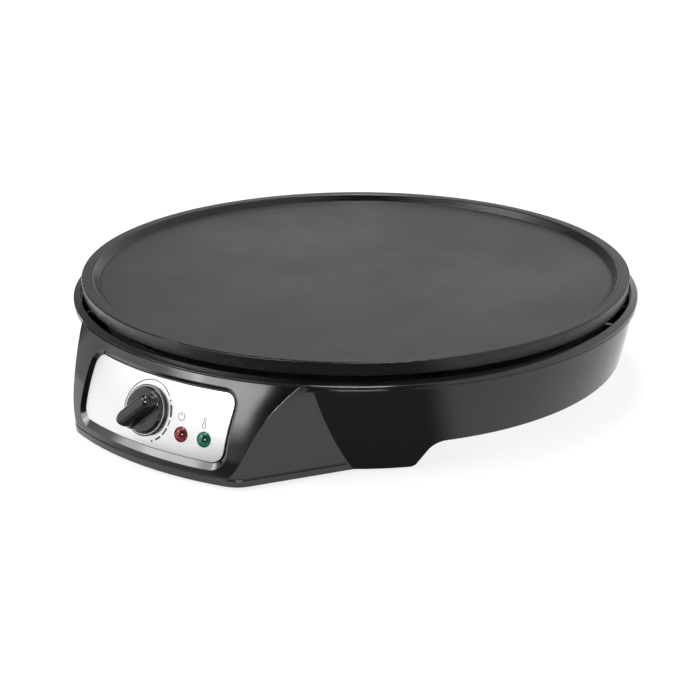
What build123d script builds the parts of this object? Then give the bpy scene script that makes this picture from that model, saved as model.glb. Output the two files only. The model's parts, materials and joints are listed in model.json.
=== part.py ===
from build123d import *
from math import asin, cos, degrees, radians, sin, sqrt, tan
import os

# Electric crepe maker: a round cast cooking plate on a low moulded drum, with a control
# pod at the front.  Millimetres, +Z up, the pod towards -Y.  The origin is on the table,
# under the middle of the footprint.  "Front angle" is measured about the drum's axis:
# 0 at the pod, 90 at the right-hand side, seen from the front.

# ---------------------------------------------------------------- driving dimensions
clearance = 0.3                  # between neighbours that are only placed together
seat_gap = 0.05                  # between a fastener or pin and its own hole
sheet = 0.8                      # thin sheet metal

# cooking plate
plate_radius = 152.5
plate_top_z = 59.0
plate_edge_height = 7.3
plate_edge_draft = 0.5
ring_width = 6.3                 # flat raised ring round the cooking surface
ring_slope = 3.2                 # radial run of the step from the ring down
dish_depth = 4.0                 # cooking surface below the ring
plate_floor = 5.3                # thickness under the cooking surface
plate_step = 5.5                 # the thick floor stops this far inside the edge
plate_corner = 0.6

# housing: drum
table_gap = 2.0                  # the lowest edge of the housing above the table
drum_foot_inset = 9.7            # the wall stands this far inside the rim, at the foot,
drum_waist_inset = 5.1           # at the waist
drum_waist_z = 24.0
drum_shoulder_inset = 1.7        # and under the rim
wall = 2.6
rim_margin = 4.8                 # the rim's edge outside the plate
rim_base_z = 45.4
rim_edge_z = 48.6
rim_top_z = 50.0
rim_mouth_gap = 1.1              # round the plate, at the opening that it stands over
rim_groove = 0.4
hand_gap_z = 15.5                # the raised lower edge between the foot skirts
hand_gap_share = 0.604           # half the gap's length at its top, as a share of the rim
hand_gap_slope = 5.0             # how much longer the gap is at the table
hand_gap_top_curve = 7.0
hand_gap_foot_curve = 2.5

# housing: control pod
pod_reach = 18.9                 # the pod's front outside the rim
pod_half_width = 55.2            # at the front corners, before they are rounded
pod_splay = 33.4                 # the flanks open backwards by this angle
pod_corner_radius = 15.8
pod_face_bulge = 88.0            # radius of the front face's upright section
pod_face_centre_z = -5.5
pod_face_wall = 4.6
pod_top_z = 48.4
lip_z = 6.0                      # lower end of the front face
lip_groove = 0.8
lip_groove_depth = 0.5

# control panel in its recess
panel_half_width = 46.2
panel_low_z = 11.6
panel_high_z = 42.8
panel_corner = 6.0
recess_depth = 2.7
recess_bevel = 2.9
panel_bond = 0.1                 # adhesive behind the panel
panel_inset = 0.25               # gap round the panel's edge

# thermostat, knob and lamps, on the panel's face
knob_z = 27.8
knob_radius = 12.6
knob_lift = 0.4                  # knob above the panel
knob_skirt = 0.9
knob_cap_radius = 11.2
knob_cap = 2.8                   # the disc's top above the knob's underside
grip_tip = 12.1                  # the grip's pointing end from the knob's axis
grip_back = 9.4                  # and its other end
grip_width = 8.4
grip_height = 10.4
grip_turn = 225.0                # grip's direction at "off", anticlockwise from the right
grip_reach = 5.41                # the grip's foremost point, in front of the pod
shaft_radius = 3.0
shaft_hole_radius = 4.2
shaft_depth = 18.0               # behind the panel
lamp_z = 21.5
lamp_x = (22.6, 35.2)
lamp_dome_radius = 3.8
lamp_dome_height = 2.6
lamp_stem_radius = 3.3

# insides
floor_z = 16.0                   # underside of the drum's floor
floor_sheet = 1.2
shield_z = 38.0
shield_inset = 10.5              # the shield's edge inside the plate's
shield_rim = 5.0
pillar_inset = 18.5              # the pillars' axes inside the plate's edge
pillar_radius = 6.0
pillar_web = 7.0
plate_pillar_angles = (52, 128, 232, 308)
floor_pillar_angles = (65, 115, 160, 200, 245, 295)
floor_pillar_height = 14.0
foot_angles = (40, 140, 220, 320)
foot_inset = 20.3                # the feet's axes inside the rim
foot_pad_radius = 9.0
foot_radius = 7.0
foot_recess = 1.2
foot_stem_radius = 2.5
foot_stem_length = 8.0
element_share = 0.656            # the element's ring, as a share of the plate's radius
element_radius = 3.25
element_end_angle = 12.0
gland_z = 29.0
cord_radius = 3.6
gland_radius = 7.0
gland_flange_radius = 9.0
loop_x = 22.0                    # the fuse's wires pass the shield here
capillary_x = -36.0              # and the thermostat's capillary here
wire_hole_radius = 4.0

# ---------------------------------------------------------------- derived places
rim_radius = plate_radius + rim_margin
rim_mouth_radius = plate_radius + rim_mouth_gap
drum_foot_radius = rim_radius - drum_foot_inset
drum_waist_radius = rim_radius - drum_waist_inset
drum_shoulder_radius = rim_radius - drum_shoulder_inset
pod_front_radius = rim_radius + pod_reach
hand_gap_reach = rim_radius * hand_gap_share
shield_radius = plate_radius - shield_inset
pillar_radius_from_axis = plate_radius - pillar_inset
foot_from_axis = rim_radius - foot_inset
element_from_axis = plate_radius * element_share
drum_axis_y = (pod_front_radius + grip_reach - rim_radius) / 2
drum_axis = Axis((0, drum_axis_y, 0), (0, 0, 1))
floor_top_z = floor_z + floor_sheet
plate_low_z = plate_top_z - plate_edge_height
cook_z = plate_top_z - dish_depth
plate_under_z = cook_z - plate_floor
shield_top_z = shield_z + sheet
panel_depth = recess_depth - sheet - panel_bond
face_centre_r = pod_front_radius - sqrt(pod_face_bulge**2 - (lip_z - pod_face_centre_z) ** 2)

os.makedirs("parts", exist_ok=True)


def finish(builder, name):
    """Label a finished piece and write its file."""
    builder.part.label = name
    export_step(builder.part, f"parts/{name}.step")


# ---------------------------------------------------------------- planes and places
def level(z):
    """Horizontal plane at height z, centred on the drum's axis."""
    return Plane(origin=(0, drum_axis_y, z), x_dir=(1, 0, 0), z_dir=(0, 0, 1))


def section(front_angle=0.0):
    """Upright plane through the drum's axis: local x is the radius, local y the height."""
    a = radians(front_angle)
    return Plane(
        origin=(0, drum_axis_y, 0), x_dir=(sin(a), -cos(a), 0), z_dir=(-cos(a), -sin(a), 0)
    )


def place(radius, front_angle, z=0.0):
    """Point at a radius and front angle, in the drum's own level plane."""
    a = radians(front_angle)
    return Vector(radius * sin(a), -radius * cos(a), z)


def world(x, y, z):
    """Point given from the drum's axis, as a point of the object's frame."""
    return Vector(x, y + drum_axis_y, z)


def face_radius(z, depth=0.0):
    """Radius of the pod's front face at height z, or of a surface that deep behind it."""
    return face_centre_r + sqrt((pod_face_bulge - depth) ** 2 - (z - pod_face_centre_z) ** 2)


def face_plane(x, z, depth):
    """Plane that touches the surface at that depth, its z pointing out of the pod."""
    radius = face_radius(z, depth)
    turn = asin(x / radius)
    tilt = asin((z - pod_face_centre_z) / (pod_face_bulge - depth))
    return Plane(
        origin=world(*place(radius, degrees(turn), z)),
        x_dir=(cos(turn), sin(turn), 0),
        z_dir=(sin(turn) * cos(tilt), -cos(turn) * cos(tilt), sin(tilt)),
    )


# ---------------------------------------------------------------- shared forms
def face_form(depth, low_z, high_z):
    """Solid of revolution inside the pod's front face, or inside a surface behind it."""
    mid_z = (low_z + high_z) / 2
    with BuildPart() as form:
        with BuildSketch(section()):
            with BuildLine():
                ThreePointArc(
                    (face_radius(low_z, depth), low_z),
                    (face_radius(mid_z, depth), mid_z),
                    (face_radius(high_z, depth), high_z),
                )
                Polyline(
                    (face_radius(high_z, depth), high_z),
                    (0, high_z),
                    (0, low_z),
                    (face_radius(low_z, depth), low_z),
                )
            make_face()
        revolve(axis=drum_axis)
    return form.part


def flank_x(y, inset=0.0):
    """How far the pod's flank stands from the middle at a place y, counted from the axis."""
    splay = radians(pod_splay)
    front_y = sqrt(pod_front_radius**2 - pod_half_width**2)
    return pod_half_width + (y + front_y) * tan(splay) - inset / cos(splay)


def pod_outline(inset):
    """Plan of the pod: a front arc, two rounded corners and flanks that run into the drum."""
    back_y = drum_foot_radius / 2
    back_x = flank_x(-back_y, inset)
    apex_y = back_y + back_x / tan(radians(pod_splay))
    with BuildSketch() as outline:
        Circle(pod_front_radius - inset)
        with BuildLine():
            Polyline((0, -apex_y), (back_x, -back_y), (-back_x, -back_y), close=True)
        make_face(mode=Mode.INTERSECT)
        corners = outline.vertices().sort_by(Axis.Y)[:2]
        fillet(corners, pod_corner_radius - inset)
    return outline.sketch


def pod_form(side_inset, face_depth, low_z, high_z):
    """The pod's block between two heights, drawn in from its sides and its front face."""
    with BuildPart() as form:
        with BuildSketch(level(low_z)):
            add(pod_outline(side_inset))
        extrude(amount=high_z - low_z)
        add(face_form(face_depth, low_z, high_z), mode=Mode.INTERSECT)
    return form.part


def panel_prism(margin):
    """Level bar with the panel's rounded outline, drawn in by the margin."""
    width = 2 * (panel_half_width - margin)
    height = panel_high_z - panel_low_z - 2 * margin
    mid_z = (panel_high_z + panel_low_z) / 2
    start = pod_front_radius + wall
    front = Plane(origin=(0, drum_axis_y - start, mid_z), x_dir=(1, 0, 0), z_dir=(0, -1, 0))
    with BuildPart() as prism:
        with BuildSketch(front):
            RectangleRounded(width, height, panel_corner - margin)
        extrude(amount=-start / 2)
    return prism.part


def drum_arc_radius(z):
    """Radius of the drum's outer wall at height z, on its shallow bowl curve."""
    low = Vector(drum_foot_radius, table_gap)
    mid = Vector(drum_waist_radius, drum_waist_z)
    high = Vector(drum_shoulder_radius, rim_base_z)
    arc = ThreePointArc(low, mid, high)
    return arc.position_at((z - table_gap) / (rim_base_z - table_gap)).X


cross_length = 1.1               # a screw's cross recess, as shares of its head's radius
cross_width = 0.26
screw_crown = 0.45               # the head's rounding, as a share of its height
screw_point = 0.3                # the shank's chamfer, as a share of its radius


def screw_form(head_radius, head_height, shank_radius, shank_length):
    """Pan head screw, its seat at z = 0 and its shank pointing up, with a cross recess."""
    with BuildPart() as screw:
        with BuildSketch(Plane.XY):
            Circle(head_radius)
        extrude(amount=-head_height)
        fillet(screw.faces().sort_by(Axis.Z)[0].edges(), head_height * screw_crown)
        with BuildSketch(Plane.XY.offset(-head_height)):
            SlotOverall(head_radius * cross_length, head_radius * cross_width)
            SlotOverall(head_radius * cross_length, head_radius * cross_width, rotation=90)
        extrude(amount=head_height / 2, mode=Mode.SUBTRACT)
        with BuildSketch(Plane.XY):
            Circle(shank_radius)
        extrude(amount=shank_length)
        chamfer(screw.faces().sort_by(Axis.Z)[-1].edges(), shank_radius * screw_point)
    return screw.part


def ring_places(radius, front_angles, z):
    """Locations at front angles, each turned so that its x points outward."""
    return [
        Location(world(*place(radius, angle, z)), (0, 0, angle - 90)) for angle in front_angles
    ]


# ---------------------------------------------------------------- housing
pod_outer = pod_form(0, 0, table_gap, pod_top_z)
pod_hollow = pod_form(wall, pod_face_wall, floor_z, rim_base_z)
recess_back = face_form(recess_depth, 0, rim_top_z)
knob_plane = face_plane(0, knob_z, panel_depth)
lamp_planes = [face_plane(x, lamp_z, panel_depth) for x in lamp_x]

thermostat_post_z = -9.0         # along the knob's axis, behind the panel
thermostat_posts = [(-20.0, 6.0), (20.0, 6.0)]
post_root_z = -3.2               # the posts' roots, inside the pod's wall
post_hole_end = 1.0              # the screws' holes end this far from the posts' roots
post_radius = 3.5
small_screw_radius = 1.25
small_head_radius = 2.4
small_head_height = 1.6
small_screw_length = 10.0        # of the pod cover's and the cord clamp's screws
pod_cover_z = 3.4
pod_cover_sheet = 2.0
pod_boss_radius = 4.0
pod_boss_high_z = 26.0
pod_boss_inset = 3.0             # the bosses' axes inside the pod's flanks
pod_boss_back = 24.2             # and behind the pod's front
pod_boss_y = pod_boss_back - pod_front_radius
pod_boss_x = flank_x(pod_boss_y, wall + pod_boss_inset)
clamp_post_x = 12.0
clamp_post_inset = 24.3          # the clamp's posts inside the rim
clamp_post_y = rim_radius - clamp_post_inset
clamp_post_radius = 4.0
clamp_post_high_z = 37.0
clamp_seat_z = gland_z - cord_radius - 0.4
screw_radius = 2.0
screw_head_radius = 3.75
screw_head_height = 2.6
floor_screw_radius = 1.5
floor_screw_head_radius = 3.0
floor_screw_head_height = 2.2
floor_pillar_radius = 4.75
rib_width = 3.0

with BuildPart() as recess:
    add(panel_prism(0))
    add(recess_back, mode=Mode.SUBTRACT)


def on_recess_mouth(edge):
    """True for the edges where the recess opens into the pod's front face."""
    spot = edge.position_at(0.5) - Vector(0, drum_axis_y, 0)
    beside = abs(spot.X) < panel_half_width + clearance
    between = panel_low_z - clearance < spot.Z < panel_high_z + clearance
    on_face = abs(sqrt(spot.X**2 + spot.Y**2) - face_radius(spot.Z)) < clearance / 2
    return beside and between and on_face


with BuildPart() as pod_block:
    add(pod_outer)
    with BuildSketch(level(lip_z - lip_groove)):
        add(pod_outline(-wall))
        add(pod_outline(lip_groove_depth), mode=Mode.SUBTRACT)
    extrude(amount=lip_groove, mode=Mode.SUBTRACT)
    add(recess.part, mode=Mode.SUBTRACT)
    mouth = pod_block.edges().filter_by(on_recess_mouth)
    front = pod_block.faces().filter_by(
        lambda face: any(edge.is_same(mouth[0]) for edge in face.edges())
    )
    front_face = front.sort_by(SortBy.AREA)[-1]
    chamfer(mouth, recess_bevel, length2=recess_depth - clearance, reference=front_face)


def drum_section(inset):
    """Region between the drum's axis and its bowl-shaped wall, drawn in by the inset."""
    with BuildSketch() as half:
        with BuildLine():
            ThreePointArc(
                (drum_foot_radius - inset, table_gap),
                (drum_waist_radius - inset, drum_waist_z),
                (drum_shoulder_radius - inset, rim_base_z),
            )
            Polyline(
                (drum_shoulder_radius - inset, rim_base_z),
                (0, rim_base_z),
                (0, table_gap),
                (drum_foot_radius - inset, table_gap),
            )
        make_face()
    return half.sketch


with BuildPart() as drum_solid:
    with BuildSketch(section()):
        add(drum_section(0))
    revolve(axis=drum_axis)

with BuildPart() as drum_inside:
    with BuildSketch(section()):
        add(drum_section(wall))
        with Locations((0, rim_base_z)):
            Rectangle(rim_mouth_radius, 2 * wall, align=(Align.MIN, Align.MIN))
    revolve(axis=drum_axis)

with BuildPart() as drum_shell:
    groove_z = (rim_base_z + rim_edge_z) / 2
    with BuildSketch(section()):
        add(drum_section(0))
        with BuildLine():
            Polyline(
                (0, rim_base_z),
                (rim_radius - rim_groove / 2, rim_base_z),
                (rim_radius - rim_groove / 2, groove_z - rim_groove),
                (rim_radius - 1.5 * rim_groove, groove_z),
                (rim_radius, groove_z + rim_groove),
                (rim_radius, rim_edge_z),
                (rim_mouth_radius, rim_top_z),
                (0, rim_top_z),
                close=True,
            )
        make_face()
    revolve(axis=drum_axis)
    add(drum_inside.part, mode=Mode.SUBTRACT)

with BuildPart() as pod_hollow_low:
    add(pod_form(wall, pod_face_wall, table_gap - 1, floor_z))
    add(drum_solid.part, mode=Mode.SUBTRACT)

side_view = Plane(origin=(0, drum_axis_y, 0), x_dir=(0, 1, 0), z_dir=(1, 0, 0))

with BuildPart() as hand_gap:
    with BuildSketch(side_view) as gap_profile:
        foot_reach = hand_gap_reach + hand_gap_slope
        with BuildLine():
            Polyline(
                (-foot_reach - wall, 0),
                (-foot_reach - wall, table_gap),
                (-foot_reach, table_gap),
                (-hand_gap_reach, hand_gap_z),
                (hand_gap_reach, hand_gap_z),
                (foot_reach, table_gap),
                (foot_reach + wall, table_gap),
                (foot_reach + wall, 0),
                close=True,
            )
        make_face()
        gap_corners = gap_profile.vertices().group_by(Axis.Y)
        fillet(gap_corners[-1], hand_gap_top_curve)
        inner_corners = gap_profile.vertices().group_by(Axis.Y)[1].sort_by(Axis.X)[1:3]
        fillet(inner_corners, hand_gap_foot_curve)
    extrude(amount=rim_radius, both=True)

plate_pillars = ring_places(pillar_radius_from_axis, plate_pillar_angles, floor_top_z)
floor_pillars = ring_places(pillar_radius_from_axis, floor_pillar_angles, floor_top_z)
foot_places = ring_places(foot_from_axis, foot_angles, 0)
rib_reach = drum_waist_radius - wall / 2 - pillar_radius_from_axis

with BuildPart() as housing:
    add(pod_block.part)
    add(drum_inside.part, mode=Mode.SUBTRACT)
    add(drum_shell.part)
    add(pod_hollow, mode=Mode.SUBTRACT)
    add(pod_hollow_low.part, mode=Mode.SUBTRACT)

    # pillars that carry the plate, pillars that take the floor's screws, and their ribs
    pillar_height = shield_z - floor_top_z
    with Locations(*plate_pillars):
        Cylinder(pillar_radius, pillar_height, align=(Align.CENTER, Align.CENTER, Align.MIN))
        Box(
            rib_reach,
            rib_width,
            pillar_height - pillar_web,
            align=(Align.MIN, Align.CENTER, Align.MIN),
        )
    with Locations(*floor_pillars):
        Cylinder(
            floor_pillar_radius,
            floor_pillar_height,
            align=(Align.CENTER, Align.CENTER, Align.MIN),
        )
        Box(
            rib_reach,
            rib_width,
            floor_pillar_height,
            align=(Align.MIN, Align.CENTER, Align.MIN),
        )
    # pads for the feet, inside the foot skirts
    with Locations(*[foot * Location((0, 0, table_gap)) for foot in foot_places]):
        Cylinder(
            foot_pad_radius,
            floor_z - clearance - table_gap,
            align=(Align.CENTER, Align.CENTER, Align.MIN),
        )
    # posts for the cord clamp, with ribs to the rear wall
    with Locations(*[world(side * clamp_post_x, clamp_post_y, 0) for side in (-1, 1)]):
        with Locations((0, 0, clamp_seat_z)):
            post_height = clamp_post_high_z - clamp_seat_z
            Cylinder(clamp_post_radius, post_height, align=(Align.CENTER, Align.CENTER, Align.MIN))
            Box(
                rib_width,
                drum_waist_radius - wall - clamp_post_y,
                post_height,
                align=(Align.CENTER, Align.MIN, Align.MIN),
            )
    # bosses for the pod's cover
    with Locations(*[world(side * pod_boss_x, pod_boss_y, 0) for side in (-1, 1)]):
        with Locations((0, 0, pod_cover_z + pod_cover_sheet)):
            Cylinder(
                pod_boss_radius,
                pod_boss_high_z - pod_cover_z - pod_cover_sheet,
                align=(Align.CENTER, Align.CENTER, Align.MIN),
            )
    # posts for the thermostat's bracket, behind the panel
    with BuildSketch(knob_plane.offset(thermostat_post_z)):
        with Locations(*thermostat_posts):
            Circle(post_radius)
    extrude(amount=post_root_z - thermostat_post_z)

    add(hand_gap.part, mode=Mode.SUBTRACT)

    # holes: screws, feet, the cord's gland, the knob's shaft and the lamps
    with Locations(*plate_pillars):
        deep = pillar_height - pillar_web
        Cylinder(
            screw_head_radius + clearance,
            deep,
            align=(Align.CENTER, Align.CENTER, Align.MIN),
            mode=Mode.SUBTRACT,
        )
        Cylinder(
            screw_radius + clearance,
            pillar_height,
            align=(Align.CENTER, Align.CENTER, Align.MIN),
            mode=Mode.SUBTRACT,
        )
    with Locations(*floor_pillars):
        Cylinder(
            floor_screw_radius + seat_gap,
            floor_pillar_height - wall,
            align=(Align.CENTER, Align.CENTER, Align.MIN),
            mode=Mode.SUBTRACT,
        )
    with Locations(*[foot * Location((0, 0, table_gap)) for foot in foot_places]):
        Cylinder(
            foot_radius + seat_gap,
            foot_recess,
            align=(Align.CENTER, Align.CENTER, Align.MIN),
            mode=Mode.SUBTRACT,
        )
        Cylinder(
            foot_stem_radius + seat_gap,
            foot_recess + foot_stem_length + clearance,
            align=(Align.CENTER, Align.CENTER, Align.MIN),
            mode=Mode.SUBTRACT,
        )
    with Locations(*[world(side * clamp_post_x, clamp_post_y, 0) for side in (-1, 1)]):
        with Locations((0, 0, clamp_seat_z)):
            Cylinder(
                small_screw_radius + seat_gap,
                post_height - wall,
                align=(Align.CENTER, Align.CENTER, Align.MIN),
                mode=Mode.SUBTRACT,
            )
    with Locations(*[world(side * pod_boss_x, pod_boss_y, 0) for side in (-1, 1)]):
        with Locations((0, 0, pod_cover_z + pod_cover_sheet)):
            Cylinder(
                small_screw_radius + seat_gap,
                pod_boss_high_z - pod_cover_z - pod_cover_sheet - wall,
                align=(Align.CENTER, Align.CENTER, Align.MIN),
                mode=Mode.SUBTRACT,
            )
    with BuildSketch(knob_plane.offset(thermostat_post_z)):
        with Locations(*thermostat_posts):
            Circle(small_screw_radius + seat_gap)
    extrude(amount=post_root_z - thermostat_post_z - post_hole_end, mode=Mode.SUBTRACT)
    with BuildSketch(knob_plane.offset(thermostat_post_z)):
        Circle(shaft_hole_radius)
    extrude(amount=-thermostat_post_z, mode=Mode.SUBTRACT)
    with BuildPart(mode=Mode.SUBTRACT):
        for lamp_plane in lamp_planes:
            with BuildSketch(lamp_plane.offset(thermostat_post_z)):
                Circle(lamp_stem_radius + seat_gap)
            extrude(amount=-thermostat_post_z)
    rear = Plane(
        origin=(0, drum_axis_y + rim_radius, gland_z), x_dir=(-1, 0, 0), z_dir=(0, 1, 0)
    )
    with BuildSketch(rear):
        Circle(gland_radius + seat_gap)
    extrude(amount=-4 * wall, mode=Mode.SUBTRACT)
finish(housing, "housing")

# ---------------------------------------------------------------- cooking plate
dish_radius = plate_radius - ring_width - ring_slope
element_z = plate_under_z - element_radius - seat_gap
rib_gap = 0.15
cast_rib = 4.1
cast_rib_depth = 3.2
spacer_radius = 4.5
plate_boss_depth = 5.7
plate_thread = 2.5               # the screws' holes run this far up into the plate
clip_reach = 16.0                # the clips' screws outside the element's ring
clip_from_axis = element_from_axis + clip_reach
clip_angles = (60, 180, 300)
clip_sheet = 1.0
clip_width = 12.0
clip_boss_radius = 4.5
clip_margin = 0.5                # a clip's end outside its boss
bulb_y = -55.0
bulb_radius = 2.5
bulb_length = 50.0
bulb_end_curve = 1.2
fuse_y = -20.0
fuse_radius = 2.0
fuse_length = 13.0
fuse_end_curve = 0.6
small_boss_back = 11.0           # a small clip's boss stands this far in front of its part
plate_boss_z = plate_under_z - plate_boss_depth
element_clip_z = element_z - element_radius - seat_gap
bulb_z = plate_under_z - bulb_radius - rib_gap
fuse_z = plate_under_z - fuse_radius - rib_gap
bulb_clip_z = bulb_z - bulb_radius - rib_gap
fuse_clip_z = fuse_z - fuse_radius - rib_gap
plate_screw_top_z = plate_under_z + plate_thread

clip_places = ring_places(clip_from_axis, clip_angles, 0)
small_bosses = [
    (world(0, bulb_y - small_boss_back, 0), bulb_clip_z),
    (world(0, fuse_y - small_boss_back, 0), fuse_clip_z),
]


def hang(radius, low_z, high_z, mode=Mode.ADD):
    """Upright cylinder between two heights, at each of the active places."""
    with Locations((0, 0, low_z)):
        Cylinder(
            radius, high_z - low_z, align=(Align.CENTER, Align.CENTER, Align.MIN), mode=mode
        )


with BuildPart() as cooking_plate:
    with BuildSketch(section()) as half:
        with BuildLine():
            Polyline(
                (0, plate_under_z),
                (0, cook_z),
                (dish_radius, cook_z),
                (dish_radius + ring_slope, plate_top_z),
                (plate_radius, plate_top_z),
                (plate_radius - plate_edge_draft, plate_low_z),
                (plate_radius - plate_step, plate_low_z),
                (plate_radius - plate_step, plate_under_z),
                close=True,
            )
        make_face()
        outer = half.vertices().sort_by(Axis.X)[-2:]
        fillet(outer, plate_corner)
        ring_inner = half.vertices().sort_by_distance((dish_radius + ring_slope, plate_top_z))[0]
        fillet(ring_inner, plate_corner)
    revolve(axis=drum_axis)
    for rib_radius in (
        element_from_axis - element_radius - rib_gap - cast_rib,
        element_from_axis + element_radius + rib_gap,
    ):
        with BuildSketch(level(plate_under_z)):
            Circle(rib_radius + cast_rib)
            Circle(rib_radius, mode=Mode.SUBTRACT)
        extrude(amount=-cast_rib_depth)
    with Locations(*ring_places(pillar_radius_from_axis, plate_pillar_angles, 0)):
        hang(pillar_radius, plate_boss_z, plate_under_z)
    with Locations(*clip_places):
        hang(clip_boss_radius, element_clip_z, plate_under_z)
    for spot, boss_z in small_bosses:
        with Locations(spot):
            hang(clip_boss_radius, boss_z, plate_under_z)
            hang(small_screw_radius + seat_gap, boss_z, plate_screw_top_z, Mode.SUBTRACT)
    with Locations(*ring_places(pillar_radius_from_axis, plate_pillar_angles, 0)):
        hang(screw_radius + seat_gap, plate_boss_z, plate_screw_top_z, Mode.SUBTRACT)
    with Locations(*clip_places):
        hang(small_screw_radius + seat_gap, element_clip_z, plate_screw_top_z, Mode.SUBTRACT)
finish(cooking_plate, "cooking_plate")

# ---------------------------------------------------------------- heating element
element_bend = 8.0
element_leg = 6.0
leg_low_z = element_z - element_bend - element_leg
spade_width = 6.3
spade_height = 5.4


def leg_place(side):
    """Where a leg of the element comes down, from the drum's axis."""
    a = radians(element_end_angle)
    turn = Vector(cos(a), sin(a), 0) * element_bend
    spot = place(element_from_axis, element_end_angle) - turn
    return Vector(side * spot.X, spot.Y, 0)


def element_bend_arc(side):
    """Points of the quarter bend between a leg and the ring, from the leg upward."""
    top = place(element_from_axis, side * element_end_angle)
    leg = leg_place(side)
    half_way = top + (leg - top) * cos(radians(45))
    low = element_z - element_bend
    return [
        world(leg.X, leg.Y, low),
        world(half_way.X, half_way.Y, low + element_bend * sin(radians(45))),
        world(top.X, top.Y, element_z),
    ]


with BuildPart() as heating_element:
    right = element_bend_arc(1)
    left = element_bend_arc(-1)
    with BuildLine() as element_path:
        Line(right[0] - Vector(0, 0, element_leg), right[0])
        ThreePointArc(*right)
        ThreePointArc(right[2], world(0, element_from_axis, element_z), left[2])
        ThreePointArc(*reversed(left))
        Line(left[0], left[0] - Vector(0, 0, element_leg))
    with BuildSketch(Plane(origin=right[0] - Vector(0, 0, element_leg), z_dir=(0, 0, 1))):
        Circle(element_radius)
    sweep(path=element_path.wires()[0])
finish(heating_element, "heating_element")

with BuildPart() as element_terminals:
    with Locations(*[world(*leg_place(side)) for side in (-1, 1)]):
        hang(element_radius - clearance, leg_low_z - spade_height / 4, leg_low_z)
        with Locations((0, 0, leg_low_z - spade_height)):
            Box(
                spade_width,
                sheet,
                spade_height,
                align=(Align.CENTER, Align.CENTER, Align.MIN),
            )
finish(element_terminals, "element_terminals")

with BuildPart() as element_clips:
    strap_out = clip_boss_radius + clip_margin
    strap_in = clip_from_axis - element_from_axis + 2 * element_radius
    for spot in clip_places:
        with Locations(spot):
            with Locations((strap_out, 0, element_clip_z)):
                Box(
                    strap_in + strap_out,
                    clip_width,
                    clip_sheet,
                    align=(Align.MAX, Align.CENTER, Align.MAX),
                )
            hang(
                small_screw_radius + clearance,
                element_clip_z - clip_sheet,
                element_clip_z,
                Mode.SUBTRACT,
            )
finish(element_clips, "element_clips")


def small_screw(shank_length):
    """The small pan head screw."""
    return screw_form(small_head_radius, small_head_height, small_screw_radius, shank_length)


def screws_up(form, spots, seat_z):
    """Copies of a screw, pointing up, with their heads below the seat's height."""
    with BuildPart() as group:
        with Locations(*[spot * Location((0, 0, seat_z)) for spot in spots]):
            add(form)
    return group.part


element_screw_seat = element_clip_z - clip_sheet
with BuildPart() as element_clip_screws:
    add(screws_up(small_screw(plate_under_z - element_screw_seat), clip_places, element_screw_seat))
finish(element_clip_screws, "element_clip_screws")

# ---------------------------------------------------------------- shield and plate fixings
with BuildPart() as heat_shield:
    with BuildSketch(level(shield_z)):
        Circle(shield_radius)
    extrude(amount=sheet)
    with BuildSketch(level(shield_top_z)):
        Circle(shield_radius)
        Circle(shield_radius - sheet, mode=Mode.SUBTRACT)
    extrude(amount=shield_rim)
    with BuildSketch(level(shield_z)):
        with Locations(*[place(pillar_radius_from_axis, a) for a in plate_pillar_angles]):
            Circle(screw_radius + clearance)
        with Locations(*[leg_place(side) for side in (-1, 1)]):
            Circle(2 * element_radius)
        with Locations((-loop_x, fuse_y), (loop_x, fuse_y), (capillary_x, bulb_y)):
            Circle(wire_hole_radius)
    extrude(amount=sheet, mode=Mode.SUBTRACT)
finish(heat_shield, "heat_shield")

pillar_spots = ring_places(pillar_radius_from_axis, plate_pillar_angles, 0)
with BuildPart() as plate_spacers:
    with Locations(*pillar_spots):
        hang(spacer_radius, shield_top_z, plate_boss_z)
        hang(screw_radius + clearance, shield_top_z, plate_boss_z, Mode.SUBTRACT)
finish(plate_spacers, "plate_spacers")

plate_screw_seat = shield_z - pillar_web
plate_screw_gap = 1.0            # left at the end of the plate's threaded holes
plate_screw = screw_form(
    screw_head_radius,
    screw_head_height,
    screw_radius,
    plate_screw_top_z - plate_screw_gap - plate_screw_seat,
)
with BuildPart() as plate_screws:
    add(screws_up(plate_screw, pillar_spots, plate_screw_seat))
finish(plate_screws, "plate_screws")

# ---------------------------------------------------------------- drum floor
floor_radius = drum_arc_radius(floor_z) - wall - clearance
vent_length = 46.0
vent_width = 4.0
vent_pitch = 11.0
vent_front_y = 40.0              # the middle of the front vents, in front of the axis
vent_rear_y = 4.0                # and of the rear ones, behind it
block_size = (44.0, 18.0, 11.8)
block_inset = 62.3               # the terminal block's middle inside the rim
block_y = rim_radius - block_inset
block_screw_radius = 1.5
earth_lead = 50.0                # from the block's middle forward to the earth screw
earth_screw_y = block_y - earth_lead
floor_spots = ring_places(pillar_radius_from_axis, floor_pillar_angles, 0)

with BuildPart() as base_cover:
    with BuildSketch(level(floor_z)):
        Circle(floor_radius)
        with Locations((0, -vent_front_y), (0, vent_rear_y)):
            with GridLocations(2 * vent_length, vent_pitch, 2, 4):
                SlotOverall(vent_length, vent_width, mode=Mode.SUBTRACT)
        with Locations(*[place(pillar_radius_from_axis, a) for a in floor_pillar_angles]):
            Circle(floor_screw_radius + clearance, mode=Mode.SUBTRACT)
        with Locations((0, block_y), (0, earth_screw_y)):
            Circle(block_screw_radius + seat_gap, mode=Mode.SUBTRACT)
    extrude(amount=floor_sheet)
finish(base_cover, "base_cover")

floor_screw_length = 10.0
floor_screw = screw_form(
    floor_screw_head_radius, floor_screw_head_height, floor_screw_radius, floor_screw_length
)
with BuildPart() as base_cover_screws:
    add(screws_up(floor_screw, floor_spots, floor_z))
finish(base_cover_screws, "base_cover_screws")

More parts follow.
